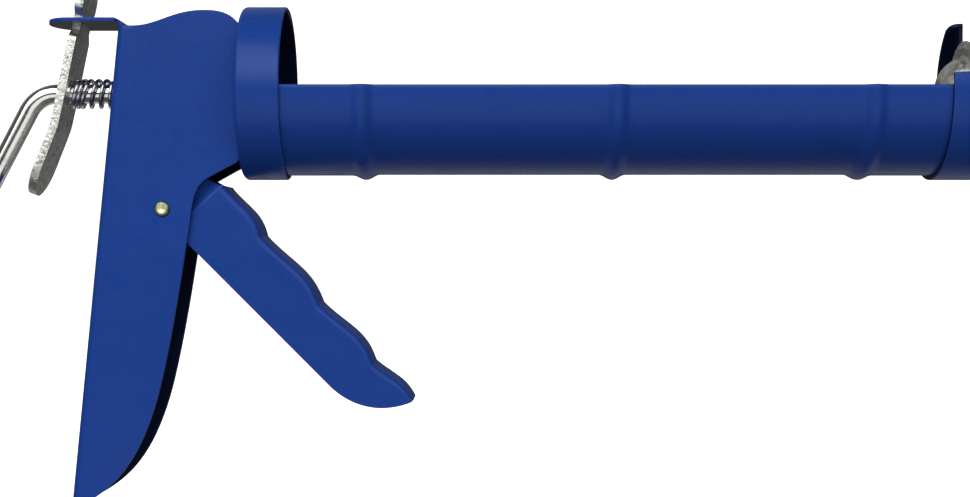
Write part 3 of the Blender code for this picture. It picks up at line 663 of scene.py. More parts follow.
@dataclass
class Barrel:
    """Rear cup, half-round cradle with pressed beads, and front cap."""

    layout: Layout
    wall: float = 1.2
    corner: float = 1.6
    cradle_wall: float = 1.0
    cradle_r: float = 26.6
    cradle_end_r: float = 26.85
    cradle_rise: float = 0.6
    bead_first: float = 39.8
    bead_pitch: float = 80.75
    bead_width: float = 9.0
    bead_rise: float = 1.65
    band_rise: float = 4.5
    ear_width: float = 5.0
    slot_half: float = 13.3

    def build(self) -> None:
        """Makes the three pieces."""
        self.rear_cup()
        self.cradle()
        self.front_cap()

    def rear_cup(self) -> None:
        """Drawn cup: a turned section with a rounded rear edge and a rolled rim."""
        at = self.layout
        back, rim, outer = at.cup_back, at.cup_rim, at.barrel_r
        inner = outer - self.wall
        bend = np.linspace(0, np.pi / 2, 9)
        c, small = self.corner, 0.5
        outside = np.column_stack([back + c - c * np.cos(bend), outer - c + c * np.sin(bend)])
        lip = np.linspace(np.pi / 2, -np.pi / 2, 9)
        edge = self.wall / 2
        rolled = np.column_stack([rim - edge + edge * np.cos(lip), outer - edge + edge * np.sin(lip)])
        plate = back + self.wall
        inside = np.column_stack([
            plate + small - small * np.cos(bend[::-1]), inner - small + small * np.sin(bend[::-1]),
        ])
        hole = 3.55
        hole_edge = np.array([
            [plate, hole + 0.4], [plate - 0.25, hole], [back + 0.25, hole], [back, hole + 0.4],
        ])
        rings = np.linspace(0.25, 1.0, 4)[:, None]
        plate_inside = inside[-1] + (hole_edge[0] - inside[-1]) * rings[:-1]
        plate_back = hole_edge[-1] + (outside[0] - hole_edge[-1]) * rings[:-1]
        skirt = np.column_stack([np.linspace(back + c, rim - edge, 6)[1:-1], np.full(4, outer)])
        bore = np.column_stack([np.linspace(rim - edge, plate + small, 6)[1:-1], np.full(4, inner)])
        profile = np.concatenate([outside, skirt, rolled, bore, inside, plate_inside, hole_edge, plate_back])
        cup = turned("rear_cup_shell", profile, at.axis_z, steps=128)
        # The inside of the cup takes the near-black paint as painted shade; mark_second picks those faces.
        at.dress(cup, Finish.PAINT, Body.FRAME, "rear_cup", second=Finish.PAINTED_SHADE_INSIDE)
        mark_second(
            cup, lambda p: (np.hypot(p[:, 1], p[:, 2] - at.axis_z) < outer - 0.8) & (p[:, 0] > back + 0.8)
        )

    def bead(self, x: Array) -> Array:
        """Lift of the trough at x: a raised cosine over the nearest bead, 0 elsewhere."""
        from_first = x - (self.layout.cup_back + self.bead_first)
        nearest = np.clip(np.round(from_first / self.bead_pitch), 0, 2)
        away = np.abs(from_first - nearest * self.bead_pitch)
        lift = self.bead_rise * (0.5 + 0.5 * np.cos(2 * np.pi * away / self.bead_width))
        return np.where(away < self.bead_width / 2, lift, 0.0)

    def cradle(self) -> None:
        """Trough: radius depends on x alone, angle runs from one top edge to the other."""
        at = self.layout
        low, high = at.box("cradle")
        x = np.linspace(low[0], high[0], 420)[:, None]
        first = at.cup_back + self.bead_first
        last = first + 2 * self.bead_pitch
        swell = np.clip((np.abs(x - (first + last) / 2) - (last - first) / 2) / 4, 0, 1)
        radius = self.cradle_r + (self.cradle_end_r - self.cradle_r) * swell + self.bead(x)
        reach = np.pi / 2 + np.arcsin(self.cradle_rise / self.cradle_r)
        angle = np.linspace(-reach, reach, 72)[None, :]
        points = np.stack(
            [np.broadcast_to(x, (420, 72)), radius * np.sin(angle), at.axis_z - radius * np.cos(angle)],
            axis=-1,
        )
        trough = surface("cradle_shell", points)
        axis = np.array([0, 0, at.axis_z]) * MM
        facing(trough, lambda c, n: np.sum((c - axis) * n * (0, 1, 1), axis=1))
        at.dress(sheet_metal(trough, self.cradle_wall, 0.3), Finish.PAINT, Body.FRAME, "cradle")

    def front_cap(self) -> None:
        """Cap: at each angle a line from the nozzle slot's edge over the corner to the rim.

        The angle is measured from straight down. The slot's edge is a circle below the axis
        and two upright lines above it. The rim lies far back below the band's edge, near the
        front plate along the ears, and runs to the plate in a round corner at their tops.
        """
        at = self.layout
        outer, c = at.barrel_r, self.corner
        top = np.pi - np.arcsin(self.slot_half / outer)
        band = np.pi / 2 + np.arcsin(self.band_rise / outer)
        step = math.radians(1.2)
        key = np.array([0, band - 3 * step, band - 0.4 * step, band + 0.4 * step, band + 4 * step, top])
        count = (60, 8, 8, 10, 46)
        half = np.concatenate(
            [np.linspace(a, b, n, endpoint=False) for a, b, n in zip(key, key[1:], count)] + [[top]]
        )
        angle = np.concatenate([-half[:0:-1], half])[:, None]
        steep = np.abs(angle)
        # where the rim is, as a distance behind the cap's front
        long, short = at.cap_front - at.cap_back, self.ear_width
        drop = np.clip((steep - (band - 0.4 * step)) / (0.8 * step), 0, 1)
        fillet = 1.2 * np.clip(1 - (steep - band) / (4 * step), 0, 1) ** 2 * (steep > band)
        top_round = np.clip((top - steep) / math.radians(9), 0, 1)
        length = long + (short - long) * drop + fillet * drop
        length = np.where(steep > band, c + (length - c) * np.sqrt(1 - (1 - top_round) ** 2), length)
        above = steep > np.pi / 2
        slot = np.where(above, self.slot_half / np.maximum(np.sin(steep), 1e-6), self.slot_half)
        slot = np.minimum(slot, outer - 1e-3)
        flat_edge = np.maximum(outer - c, slot)
        t = np.linspace(0, 1, 12)[None, :]
        plate = (at.cap_front + 0 * slot * t, slot + (flat_edge - slot) * t)
        bend = np.linspace(0, np.pi / 2, 8)[None, 1:]
        lift = outer - flat_edge
        corner = (at.cap_front - c * (1 - np.cos(bend)) * (lift / c), flat_edge + lift * np.sin(bend))
        start = at.cap_front - lift
        skirt_t = np.linspace(0, 1, 16)[None, 1:]
        skirt = (start + (at.cap_front - length - start) * skirt_t, outer + 0 * skirt_t * angle)
        along = np.concatenate([plate[0], corner[0], skirt[0]], axis=1)
        out = np.concatenate([plate[1], corner[1], skirt[1]], axis=1)
        points = np.stack([along, out * np.sin(angle), at.axis_z - out * np.cos(angle)], axis=-1)
        cap = surface("front_cap_shell", points)
        centre = np.array([at.cap_front - 12, 0, at.axis_z]) * MM
        facing(cap, lambda p, n: np.sum((p - centre) * n, axis=1))
        # Inner faces and cut rims take the near-black paint: painted shade inside the cap.
        sheet_metal(cap, self.wall, 0.3, inside=1, rim=1)
        at.dress(cap, Finish.PAINT, Body.FRAME, "front_cap", second=Finish.PAINTED_SHADE_INSIDE)


@dataclass
class Handle:
    """Folded handle channel with the tongue that the release lever hangs in."""

    layout: Layout
    width: float = 25.4
    wall: float = 1.2
    fold: float = 3.0
    top_z: float = 59.0
    top_back_x: float = -14.6
    lean: float = 0.096
    crest: tuple[float, float] = (13.5, 64.0)
    tongue_half: float = 12.3
    tongue_bend: float = 2.4
    tongue_rise: float = 23.55
    tip_share: float = 0.72
    slot: tuple[float, float] = (-30.89, -26.69)
    slot_half: float = 7.0

    def back(self, z: Array | float) -> Array | float:
        """X of the rear face at a height: a straight leaning line."""
        return self.top_back_x - (self.top_z - z) * self.lean

    def front(self, z: Array) -> Array:
        """X of the walls' front edge at a height, from the foot to the top.

        Args:
            z: Heights.

        Returns:
            X at each height.
        """
        low = self.layout.box("handle_shell")[0][2]
        front = self.layout.cup_back - 0.3
        foot = (self.back(low) + 1.2, low)
        knee = (8.6, -6.0)
        line = np.concatenate([
            bezier((foot, (-15.5, -90.5), (-7.5, -82.0), (-1.4, -60.5)), 40),
            bezier(((-1.4, -60.5), (2.6, -45.0), (5.4, -27.0), knee), 30)[1:],
            bezier((knee, (9.5, 0.8), (9.7, 6.6), (14.0, 9.6)), 20)[1:],
            bezier(((14.0, 9.6), (20.5, 13.3), (22.6, 14.4), (front - 0.4, 15.2)), 10)[1:],
            np.array([[front, 16.6], [front, 80.0]]),
        ])
        return np.interp(z, line[:, 1], line[:, 0])

    def top(self, x: Array) -> Array:
        """Height of the walls' top edge: level at the back, over the crest, round to the front.

        Args:
            x: Places along the gun.

        Returns:
            The height at each place.
        """
        front = self.layout.cup_back - 0.3
        cx, cz = self.crest
        line = np.concatenate([
            bezier(((-9.5, self.top_z), (-1.5, self.top_z), (3.0, cz), (cx, cz)), 40),
            bezier(((cx, cz), (cx + 5.5, cz), (front - 2.4, cz - 1.2), (front, cz - 4.6)), 30)[1:],
        ])
        return np.interp(x, line[:, 0], line[:, 1])

    def build(self) -> None:
        """Makes the channel, its tongue and the four tabs."""
        self.channel()
        self.tongue()
        self.tabs()

    def channel(self) -> None:
        """A folded section carried up the leaning back, then the walls' crest above it.

        It starts above the CAD foot by what the lean makes the inner skin hang lower.
        """
        at = self.layout
        low = at.box("handle_shell")[0][2] + self.wall * self.lean + 0.01
        z = np.unique(np.concatenate([
            np.linspace(low, low + 12, 40), np.linspace(low + 12, -8, 60),
            np.linspace(-8, 18, 60), np.linspace(18, self.top_z, 30),
        ]))[:, None]
        across = np.linspace(-1, 1, 141)[None, :]
        depth = self.front(z) - self.back(z)
        inward, sideways = u_section(across, depth, self.width / 2, self.fold)
        x = self.back(z) + inward
        body = np.stack([x, sideways, np.broadcast_to(z, x.shape)], axis=-1)
        last = body[-1]
        share = np.linspace(0, 1, 9)[1:, None]
        lift = np.maximum(self.top(last[:, 0]) - self.top_z, 0)[None, :]
        crest = np.stack([
            np.broadcast_to(last[:, 0], (8, len(last))), np.broadcast_to(last[:, 1], (8, len(last))),
            self.top_z + share * lift,
        ], axis=-1)
        shell = surface("handle_channel", np.concatenate([body, crest]))
        facing(shell, lambda p, n: n[:, 1] * np.sign(p[:, 1]) - 0.2 * n[:, 0])
        # Inner faces take the near-black paint: painted shade inside the handle channel.
        sheet_metal(shell, self.wall, inside=1)
        at.dress(shell, Finish.PAINT, Body.FRAME, "handle_shell", second=Finish.PAINTED_SHADE_INSIDE)

    def strip_place(self, run: Array, y: Array) -> Array:
        """Where a place on the flat blank ends up once the tongue is bent.

        Args:
            run: Distance along the blank from the bend's start: tongue negative, back positive.
            y: Sideways place.

        Returns:
            Points in millimetres. The tongue is level, the bend a quarter circle, the back
            follows the handle's lean.
        """
        bend = self.tongue_bend
        centre_z = self.layout.axis_z + self.tongue_rise - bend
        centre_x = self.back(centre_z) + self.wall - bend
        turn = np.clip(run / bend, 0, np.pi / 2)
        rest = np.maximum(run - bend * np.pi / 2, 0)
        x = centre_x + np.minimum(run, 0) + bend * np.sin(turn) - rest * self.lean
        z = centre_z + bend * np.cos(turn) - rest
        return np.stack([x, y, z], axis=-1)

    def tongue(self) -> None:
        """The tongue's blank: rays from the slot's middle run from its edge to the outline.

        Both outlines are read as a radius at each angle round the slot's middle, and the
        blank is then bent into place.
        """
        at = self.layout
        tip = at.box("handle_shell")[0][0]
        bend_x = self.back(at.axis_z + self.tongue_rise - self.tongue_bend) + self.wall - self.tongue_bend
        (slot_back, slot_front), neck = self.slot, self.slot_half
        slot = rounded(
            [(slot_back, -neck), (slot_front, -neck), (slot_front, neck), (slot_back, neck)], 0.8, 5
        )
        wide = self.tongue_half
        reach = wide * self.tip_share
        round_tip = np.linspace(np.pi / 2, 3 * np.pi / 2, 60)
        end = bend_x + self.tongue_bend * np.pi / 2 + 2.0
        relief, foot = bend_x + 0.5, self.width / 2 - self.fold - 0.1
        outline = np.concatenate([
            np.column_stack([tip + reach + reach * np.cos(round_tip), wide * np.sin(round_tip)]),
            np.array([[relief, -wide], [relief + 0.01, -foot], [end, -foot]]),
            np.array([[end, foot], [relief + 0.01, foot], [relief, wide]]),
        ])
        centre = np.array([(slot_back + slot_front) / 2, 0.0])
        corners = np.concatenate([slot, outline]) - centre
        angle = np.unique(np.round(np.concatenate([
            np.linspace(-np.pi, np.pi, 240, endpoint=False), np.arctan2(corners[:, 1], corners[:, 0])
        ]), 6))
        direction = np.stack([np.cos(angle), np.sin(angle)], axis=-1)
        inner = self.ray_length(slot - centre, direction)
        outer = self.ray_length(outline - centre, direction)
        share = np.linspace(0, 1, 40)[:, None]
        radius = inner + (outer - inner) * share
        flat = centre + radius[..., None] * direction
        points = self.strip_place(flat[..., 0] - bend_x, flat[..., 1])
        blank = surface("handle_tongue", points, close_columns=True)
        facing(blank, lambda p, n: n[:, 2] + n[:, 0])
        # The underside takes the near-black paint: painted shade under the tongue.
        at.dress(sheet_metal(blank, self.wall, inside=1), Finish.PAINT, Body.FRAME, second=Finish.PAINTED_SHADE_INSIDE)

    @staticmethod
    def ray_length(outline: Array, direction: Array) -> Array:
        """How far each ray from the origin runs before it meets a closed outline.

        Solves origin + s * direction = corner + t * side for every ray and side at once and
        keeps the nearest s whose t lies on the side.

        Args:
            outline: Corners by 2.
            direction: Rays by 2.

        Returns:
            One length per ray.
        """
        start = outline[None]
        side = (np.roll(outline, -1, axis=0) - outline)[None]
        ray = direction[:, None]
        cross = ray[..., 0] * side[..., 1] - ray[..., 1] * side[..., 0]
        cross = np.where(np.abs(cross) < 1e-12, 1e-12, cross)
        s = (start[..., 0] * side[..., 1] - start[..., 1] * side[..., 0]) / cross
        t = (start[..., 0] * ray[..., 1] - start[..., 1] * ray[..., 0]) / cross
        hit = (t > -1e-6) & (t < 1 + 1e-6) & (s > 0)
        return np.min(np.where(hit, s, np.inf), axis=1)

    def tabs(self) -> None:
        """Peened ends of the four tabs that hold the rear cup: flattened round pads."""
        at = self.layout
        u = np.linspace(-np.pi / 2, np.pi / 2, 13)[:, None]
        v = np.linspace(0, 2 * np.pi, 40, endpoint=False)[None, :]
        deep, wide, high = 0.55, 0.75, 3.1

        def squared(wave: Array) -> Array:
            """A wave with squarer shoulders."""
            return np.sign(wave) * np.abs(wave) ** 0.5

        blocks = []
        for side in (-1, 1):
            for level in (-13, 13):
                y = side * (self.width / 2 - self.wall / 2) + wide * squared(np.cos(v)) * squared(np.cos(u))
                z = at.axis_z + level + high * squared(np.sin(v)) * squared(np.cos(u))
                x = at.cup_back + self.wall + 0.35 + deep * squared(np.sin(u)) + 0 * v
                name = f"cup_tab_{'left' if side > 0 else 'right'}_{'high' if level > 0 else 'low'}"
                blocks.append(surface(name, np.stack([x, y, z], axis=-1), close_columns=True))
        for block in blocks:
            at.dress(block, Finish.PAINT, Body.FRAME)


@dataclass
class Trigger:
    """Folded trigger with finger scallops, joggled ears and its pivot rivet."""

    layout: Layout
    half: float = 10.7
    ear_half: float = 8.5
    wall: float = 1.2
    fold: float = 2.2
    notches: tuple[tuple[float, float], ...] = (
        (19.6, 7.6), (31.5, -8.6), (50.2, -30.4), (67.7, -49.7), (80.7, -61.7),
    )
    bumps: tuple[float, ...] = (1.6, 2.0, 2.1, 1.2)

    def fingers(self, steps: int = 48) -> Array:
        """Front edge: between notches a chord plus a sine bump skewed towards the far end.

        Args:
            steps: Points in each scallop.

        Returns:
            Points of (x, z).
        """
        ends = np.array(self.notches)
        t = np.linspace(0, 1, steps, endpoint=False)[None, :, None]
        start, run = ends[:-1, None], (ends[1:] - ends[:-1])[:, None]
        length = np.linalg.norm(run, axis=2, keepdims=True)
        across = np.stack([-run[..., 1], run[..., 0]], axis=-1) / length
        lift = np.array(self.bumps)[:, None, None] * np.sin(np.pi * t ** 1.6)
        points = (start + run * t + across * lift).reshape(-1, 2)
        return np.vstack([points, ends[-1]])

    @staticmethod
    def spaced(line: Array, count: int) -> Array:
        """The same line at evenly spaced distances along it."""
        step = np.concatenate([[0], np.cumsum(np.linalg.norm(np.diff(line, axis=0), axis=1))])
        at = np.linspace(0, step[-1], count)
        return np.column_stack([np.interp(at, step, line[:, k]) for k in (0, 1)])

    def build(self) -> None:
        """Makes the lever, its ears and the rivet."""
        self.lever()
        self.ears()
        self.rivet()

    def lever(self) -> None:
        """A folded section carried down the finger line, as deep as the rear edge is far."""
        at = self.layout
        front = self.spaced(self.fingers(), 260)
        heel = bezier(((53.6, -57.0), (58.5, -62.0), (68.0, -67.0), (79.8, -62.4)), 40)
        rear = self.spaced(np.vstack([[(2.9, -6.2)], heel, [self.notches[-1]]]), 260)
        run = rear - front
        depth = np.maximum(np.linalg.norm(run, axis=1, keepdims=True), 1e-3)
        across = np.linspace(-1, 1, 81)[None, :]
        inward, sideways = u_section(across, depth, self.half, self.fold)
        place = front[:, None] + (run / depth)[:, None] * inward[..., None]
        points = np.stack([place[..., 0], sideways, place[..., 1]], axis=-1)
        channel = surface("trigger_channel", points)
        facing(channel, lambda p, n: n[:, 1] * np.sign(p[:, 1]) + 0.5 * n[:, 0])
        # Inner faces take the near-black paint: painted shade inside the trigger's channel.
        sheet_metal(channel, self.wall, inside=1)
        at.dress(channel, Finish.PAINT, Body.TRIGGER, "trigger", second=Finish.PAINTED_SHADE_INSIDE)

    def ears(self) -> None:
        """Each ear is ruled between its front and rear edges and steps inwards at the joggle."""
        at = self.layout
        front = np.array([(19.6, 7.6), (17.2, 8.0), (15.2, 9.2), (10.0, 12.6), (2.0, 15.6), (-4.5, 19.4),
                          (-8.6, 25.5), (-9.1, 30.0), (-9.0, 34.4), (-9.8, 37.0), (-12.0, 37.9)])
        rear = np.array([(3.0, -6.35), (1.8, -6.9), (0.4, -7.2), (-4.6, -5.5), (-7.0, -1.6), (-8.8, 6.0),
                         (-11.4, 17.0), (-13.3, 25.0), (-14.9, 32.8), (-14.3, 37.0), (-12.3, 37.95)])
        key = np.arange(len(front))
        fine = np.linspace(0, len(front) - 1, 140)
        edges = [
            np.column_stack([np.interp(fine, key, line[:, k]) for k in (0, 1)]) for line in (front, rear)
        ]
        share = np.clip(fine / 2.2, 0, 1)
        step = share * share * (3 - 2 * share)
        across = np.linspace(0, 1, 16)[None, :, None]
        flat = edges[0][:, None] + (edges[1] - edges[0])[:, None] * across
        for side, name in ((-1, "right"), (1, "left")):
            y = side * (self.half - (self.half - self.ear_half) * step)[:, None] + 0 * across[..., 0]
            ear = surface(f"trigger_ear_{name}", np.stack([flat[..., 0], y, flat[..., 1]], axis=-1))
            facing(ear, lambda p, n, side=side: n[:, 1] * side)
            at.dress(sheet_metal(ear, self.wall), Finish.PAINT, Body.TRIGGER)

    def rivet(self) -> None:
        """Rivet: a turned section whose two heads are domed and dimpled in the middle; the outer ring takes a
        darker zinc as painted shade at the rims.
        """
        at = self.layout
        low = at.box("pivot_rivet")[0]
        seat, head = -self.layout.box("handle_shell")[1][1] - 0.02, low[1]
        rise = seat - head
        r = np.linspace(0, 1, 16)
        dome = head + rise * np.clip(0.42 * np.exp(-(r / 0.38) ** 2) + 0.9 * r ** 6, 0, 1)
        face = np.column_stack([dome, r * 2.6])
        shank = np.array([[seat, 2.6], [seat, 2.0]])
        one = np.vstack([face, shank])
        profile = np.vstack([one, one[::-1] * (-1, 1)])
        rivet = turned("pivot_rivet_peened", profile, 0.0, 48, "Y")
        at.dress(rivet, Finish.YELLOW_ZINC, Body.FRAME, "pivot_rivet", second=Finish.RIVET_RIM_SHADE)
        # The heads' outer ring takes the darker zinc: painted shade at the rims.
        mark_second(rivet, lambda p: np.hypot(p[:, 0], p[:, 2]) > 1.55)


@dataclass
class RodAndPlunger:
    """Push rod with its bent pull hook, and the dished plunger on its front end."""

    layout: Layout
    rod_r: float = 3.175
    hook_x: float = -36.6
    hook_bend: float = 10.8
    hook_angle: float = 62.6
    hook_length: float = 48.0
    end_r: float = 2.5

    def build(self) -> None:
        """Makes the rod and the plunger."""
        self.rod()
        self.plunger()

    def rod(self) -> None:
        """A round bar along the axis, round a circular bend, then straight to its rounded tip."""
        at = self.layout
        angle = math.radians(self.hook_angle)
        turn = np.linspace(0, angle, 40)
        bend = np.column_stack([
            self.hook_x - self.hook_bend * np.sin(turn), np.zeros(40),
            at.axis_z - self.hook_bend * (1 - np.cos(turn)),
        ])
        away = np.array([-math.cos(angle), 0, -math.sin(angle)])
        chamfer = np.array([0.0, 0.12, 0.35, 0.7])
        tip = bend[-1] + away * (self.hook_length - chamfer[:, None])
        tip_r = self.rod_r - np.array([1.0, 0.5, 0.18, 0.0])
        tail = bend[-1] + away * np.linspace(self.hook_length - 3, 3, 12)[:, None]
        low = at.box("plunger_disc")[0]
        washer = at.box("plunger_washer")[1][0]
        shoulder = low[0] - 0.3
        body_x = np.linspace(self.hook_x + 2, shoulder - 0.5, 90)
        head = washer + 0.3
        end = np.array([
            (shoulder - 0.3, self.rod_r), (shoulder, self.rod_r - 0.25), (shoulder + 0.01, self.end_r),
            (head - 0.01, self.end_r), (head, self.end_r + 1.3), (head + 0.4, self.end_r + 1.38),
            (head + 0.9, self.end_r + 1.0), (head + 1.25, self.end_r + 0.2), (head + 1.45, self.end_r - 1.0),
        ])

        def flat(xs: Array) -> Array:
            """Points on the rod's axis."""
            return np.column_stack([xs, np.zeros(len(xs)), np.full(len(xs), at.axis_z)])

        path = np.vstack([tip, tail, bend[::-1], flat(body_x), flat(end[:, 0])])
        radii = np.concatenate([tip_r, np.full(12 + 40 + 90, self.rod_r), end[:, 1]])
        at.dress(tube("push_rod_bar", path, radii, 48), Finish.ROD, Body.ROD, "push_rod")

    def plunger(self) -> None:
        """Dished disc: a turned sheet section, a bell round the rod's end and a flat flange."""
        at = self.layout
        low, high = at.box("plunger_disc")
        back, wall, rim = low[0], 1.2, (high[2] - low[2]) / 2
        bell = bezier(((back, 4.2), (back + 0.6, 8.2), (back + 5.0, 11.6), (back + 8.0, 12.0)), 20)
        flange = np.array([[back + 8.3, 12.5], [back + 8.3, 13.6], [back + 7.9, 14.2], [back + 7.9, 15.4],
                           [back + 8.3, 16.0], [back + 8.25, rim - 0.5]])
        skin = np.vstack([[(back, 2.9)], bell, flange])
        tangent = np.gradient(skin, axis=0)
        tangent /= np.linalg.norm(tangent, axis=1, keepdims=True)
        inside = skin + np.column_stack([tangent[:, 1], -tangent[:, 0]]) * wall
        inside[:, 1] = np.maximum(inside[:, 1], 2.9)
        lip = np.array([[back + 8.45, rim - 0.12], [back + 8.85, rim], [back + 9.25, rim - 0.12]])
        profile = np.vstack([skin, lip, inside[::-1]])
        disc = turned("plunger_dish", profile, at.axis_z, 128)
        at.dress(disc, Finish.ZINC, Body.PLUNGER, "plunger_disc")


@dataclass
class ReleaseLever:
    """Thumb release plate, hanging in the tongue and biting the rod, with its spring."""

    layout: Layout
    thickness: float = 2.7
    half: float = 9.0
    waist: float = 6.5
    lean: float = 11.6
    lower_lean: float = 21.5
    back_x: float = -34.8
    bend_z: float = 27.9
    hole_r: float = 3.9
    tongue_z: float = 61.05
    corner: float = 3.4

    def back(self, z: Array) -> Array:
        """X of the rear face: two straight stretches joined by a soft bend.

        Args:
            z: Heights.

        Returns:
            X at each height.
        """
        above = math.tan(math.radians(self.lean))
        below = math.tan(math.radians(self.lower_lean))
        from_bend = z - self.bend_z
        soft = 0.5 * (np.sqrt(from_bend ** 2 + 2.0) + from_bend)
        rod = self.layout.axis_z - self.bend_z
        rod_soft = 0.5 * (math.sqrt(rod ** 2 + 2.0) + rod)
        return self.back_x + above * (soft - rod_soft) + below * (from_bend - soft - rod + rod_soft)

    def half_width(self, z: Array) -> Array:
        """Half width at a height: a round foot, a waist at the tongue, a round-cornered head.

        Args:
            z: Heights.

        Returns:
            The half width at each height.
        """
        low, high = self.layout.box("release_lever")
        foot = np.clip((z - low[2]) / self.half, 0, 1)
        width = self.half * np.sqrt(1 - (1 - foot) ** 2)
        away = np.clip((np.abs(z - self.tongue_z) - 2.0) / 3.4, 0, 1)
        smooth = away * away * (3 - 2 * away)
        width = np.minimum(width, self.waist + (self.half - self.waist) * smooth)
        head = np.clip((high[2] - z) / self.corner, 0, 1)
        return np.minimum(width, self.half - self.corner + self.corner * np.sqrt(1 - (1 - head) ** 2))

    def build(self) -> None:
        """Makes the plate and the spring."""
        self.plate()
        self.spring()

    def plate(self) -> None:
        """The plate as a flat blank of (height, sideways), laid onto the bent rear face.

        Below and above the rod the blank is rows of evenly spread points. Round the rod it
        runs from a circle to the sides of a rectangle, whose upper and lower edges carry the
        same points as the rows there.
        """
        at = self.layout
        low, high = at.box("release_lever")
        columns = 24
        span = 7.5
        spread = np.linspace(-1, 1, columns + 1)[None, :]
        spots = []
        arc = 1 - np.cos(np.linspace(0, np.pi / 2, 18))
        lower = np.concatenate([
            low[2] + self.half * arc * 0.999 + 0.001,
            np.linspace(low[2] + self.half, at.axis_z - span, 22)[1:],
        ])
        shoulder = high[2] - self.corner
        upper = np.concatenate([
            np.linspace(at.axis_z + span, shoulder, 48),
            shoulder + self.corner * np.sin(np.linspace(0, np.pi / 2, 12))[1:],
        ])
        for rows in (lower, upper):
            z = rows[:, None]
            spots.append((np.broadcast_to(z, (len(rows), columns + 1)), spread * self.half_width(z)))
        side = np.linspace(-1, 1, columns + 1)[:-1]
        one = np.ones(columns)
        square = np.concatenate([
            np.column_stack([side, one]), np.column_stack([one, -side]),
            np.column_stack([-side, -one]), np.column_stack([-one, side]),
        ])
        edge = square * (self.half, span)
        # the hole leans with the plate, so its rear end is raised to centre its middle on the rod
        raised = self.thickness / 2 * math.sin(math.radians(self.lean))
        circle = square / np.linalg.norm(square, axis=1, keepdims=True) * self.hole_r + (0.0, raised)
        share = np.linspace(0, 1, 14)[:, None, None]
        ring = circle + (edge - circle) * share
        ring = np.concatenate([ring, ring[:, :1]], axis=1)
        spots.append((at.axis_z + ring[..., 1], ring[..., 0]))
        work = bmesh.new()
        for number, (z, y) in enumerate(spots):
            piece = surface(f"lever_blank_{number}", np.stack([self.back(z), y, z], axis=-1))
            work.from_mesh(piece.data)
            mesh = piece.data
            bpy.data.objects.remove(piece)
            bpy.data.meshes.remove(mesh)
        whole = bpy.data.meshes.new("release_lever_plate")
        work.to_mesh(whole)
        work.free()
        plate = settled("release_lever_plate", whole)
        facing(plate, lambda p, n: -n[:, 0])
        sheet_metal(plate, self.thickness, 0.55, rim=1)
        at.dress(plate, Finish.ZINC, Body.RELEASE, "release_lever", second=Finish.SHEARED_ZINC)

    def spring(self) -> None:
        """Helix on the rod: close coils that lean with the lever, then open coils that stand up."""
        at = self.layout
        high = at.box("release_spring")[1]
        wire, radius = 0.65, 4.35
        close, open_turns = 2.6, 3.3
        lean = math.tan(math.radians(self.lean))
        start = self.back_x + self.thickness + 0.3 + wire
        close_pitch = 1.42
        close_end = start + close_pitch * close
        end = high[0] - wire
        turn = np.linspace(0, close + open_turns, 300)
        share = np.clip((turn - close) / open_turns, 0, 1)
        along = start + close_pitch * np.minimum(turn, close) + (end - close_end) * share
        rise = radius * np.cos(2 * np.pi * turn)
        path = np.column_stack([
            along + lean * (1 - share) * rise, radius * np.sin(2 * np.pi * turn), at.axis_z + rise,
        ])
        coil = tube("release_spring_coil", path, np.full(len(path), wire), 14)
        at.spring_between(coil, Body.RELEASE, start + 1, end, "release_spring")


@dataclass
class Drive:
    """The hidden drive: its plates keep their CAD shape, its spring is a fine coil."""

    layout: Layout

    def build(self) -> None:
        """Makes the spring."""
        at = self.layout
        low, high = at.box("drive_spring")
        wire, radius, turns = 0.7, 5.3, 4.0
        turn = np.linspace(0, turns, 220)
        ground = np.clip(np.minimum(turn, turns - turn) / 0.6, 0, 1)
        share = np.cumsum(0.25 + 0.75 * ground)
        share = (share - share[0]) / (share[-1] - share[0])
        along = low[0] + wire + (high[0] - low[0] - 2 * wire) * share
        path = np.column_stack([
            along, radius * np.sin(2 * np.pi * turn), at.axis_z + radius * np.cos(2 * np.pi * turn),
        ])
        coil = tube("drive_spring_coil", path, np.full(len(path), wire), 12)
        at.spring_between(coil, Body.DRIVE, low[0] + 1, high[0] - 1, "drive_spring")


KEPT_NODES = {
    "drive_plate_rear": Finish.HARDENED,
    "drive_plate_front": Finish.HARDENED,
    "spring_washer_rear": Finish.ZINC,
    "spring_washer_front": Finish.ZINC,
    "pivot_sleeve": Finish.ZINC,
    "pivot_spacer_left": Finish.ZINC,
    "pivot_spacer_right": Finish.ZINC,
    "plunger_washer": Finish.ZINC,
}


# ------------------------------------------------------------------ studio


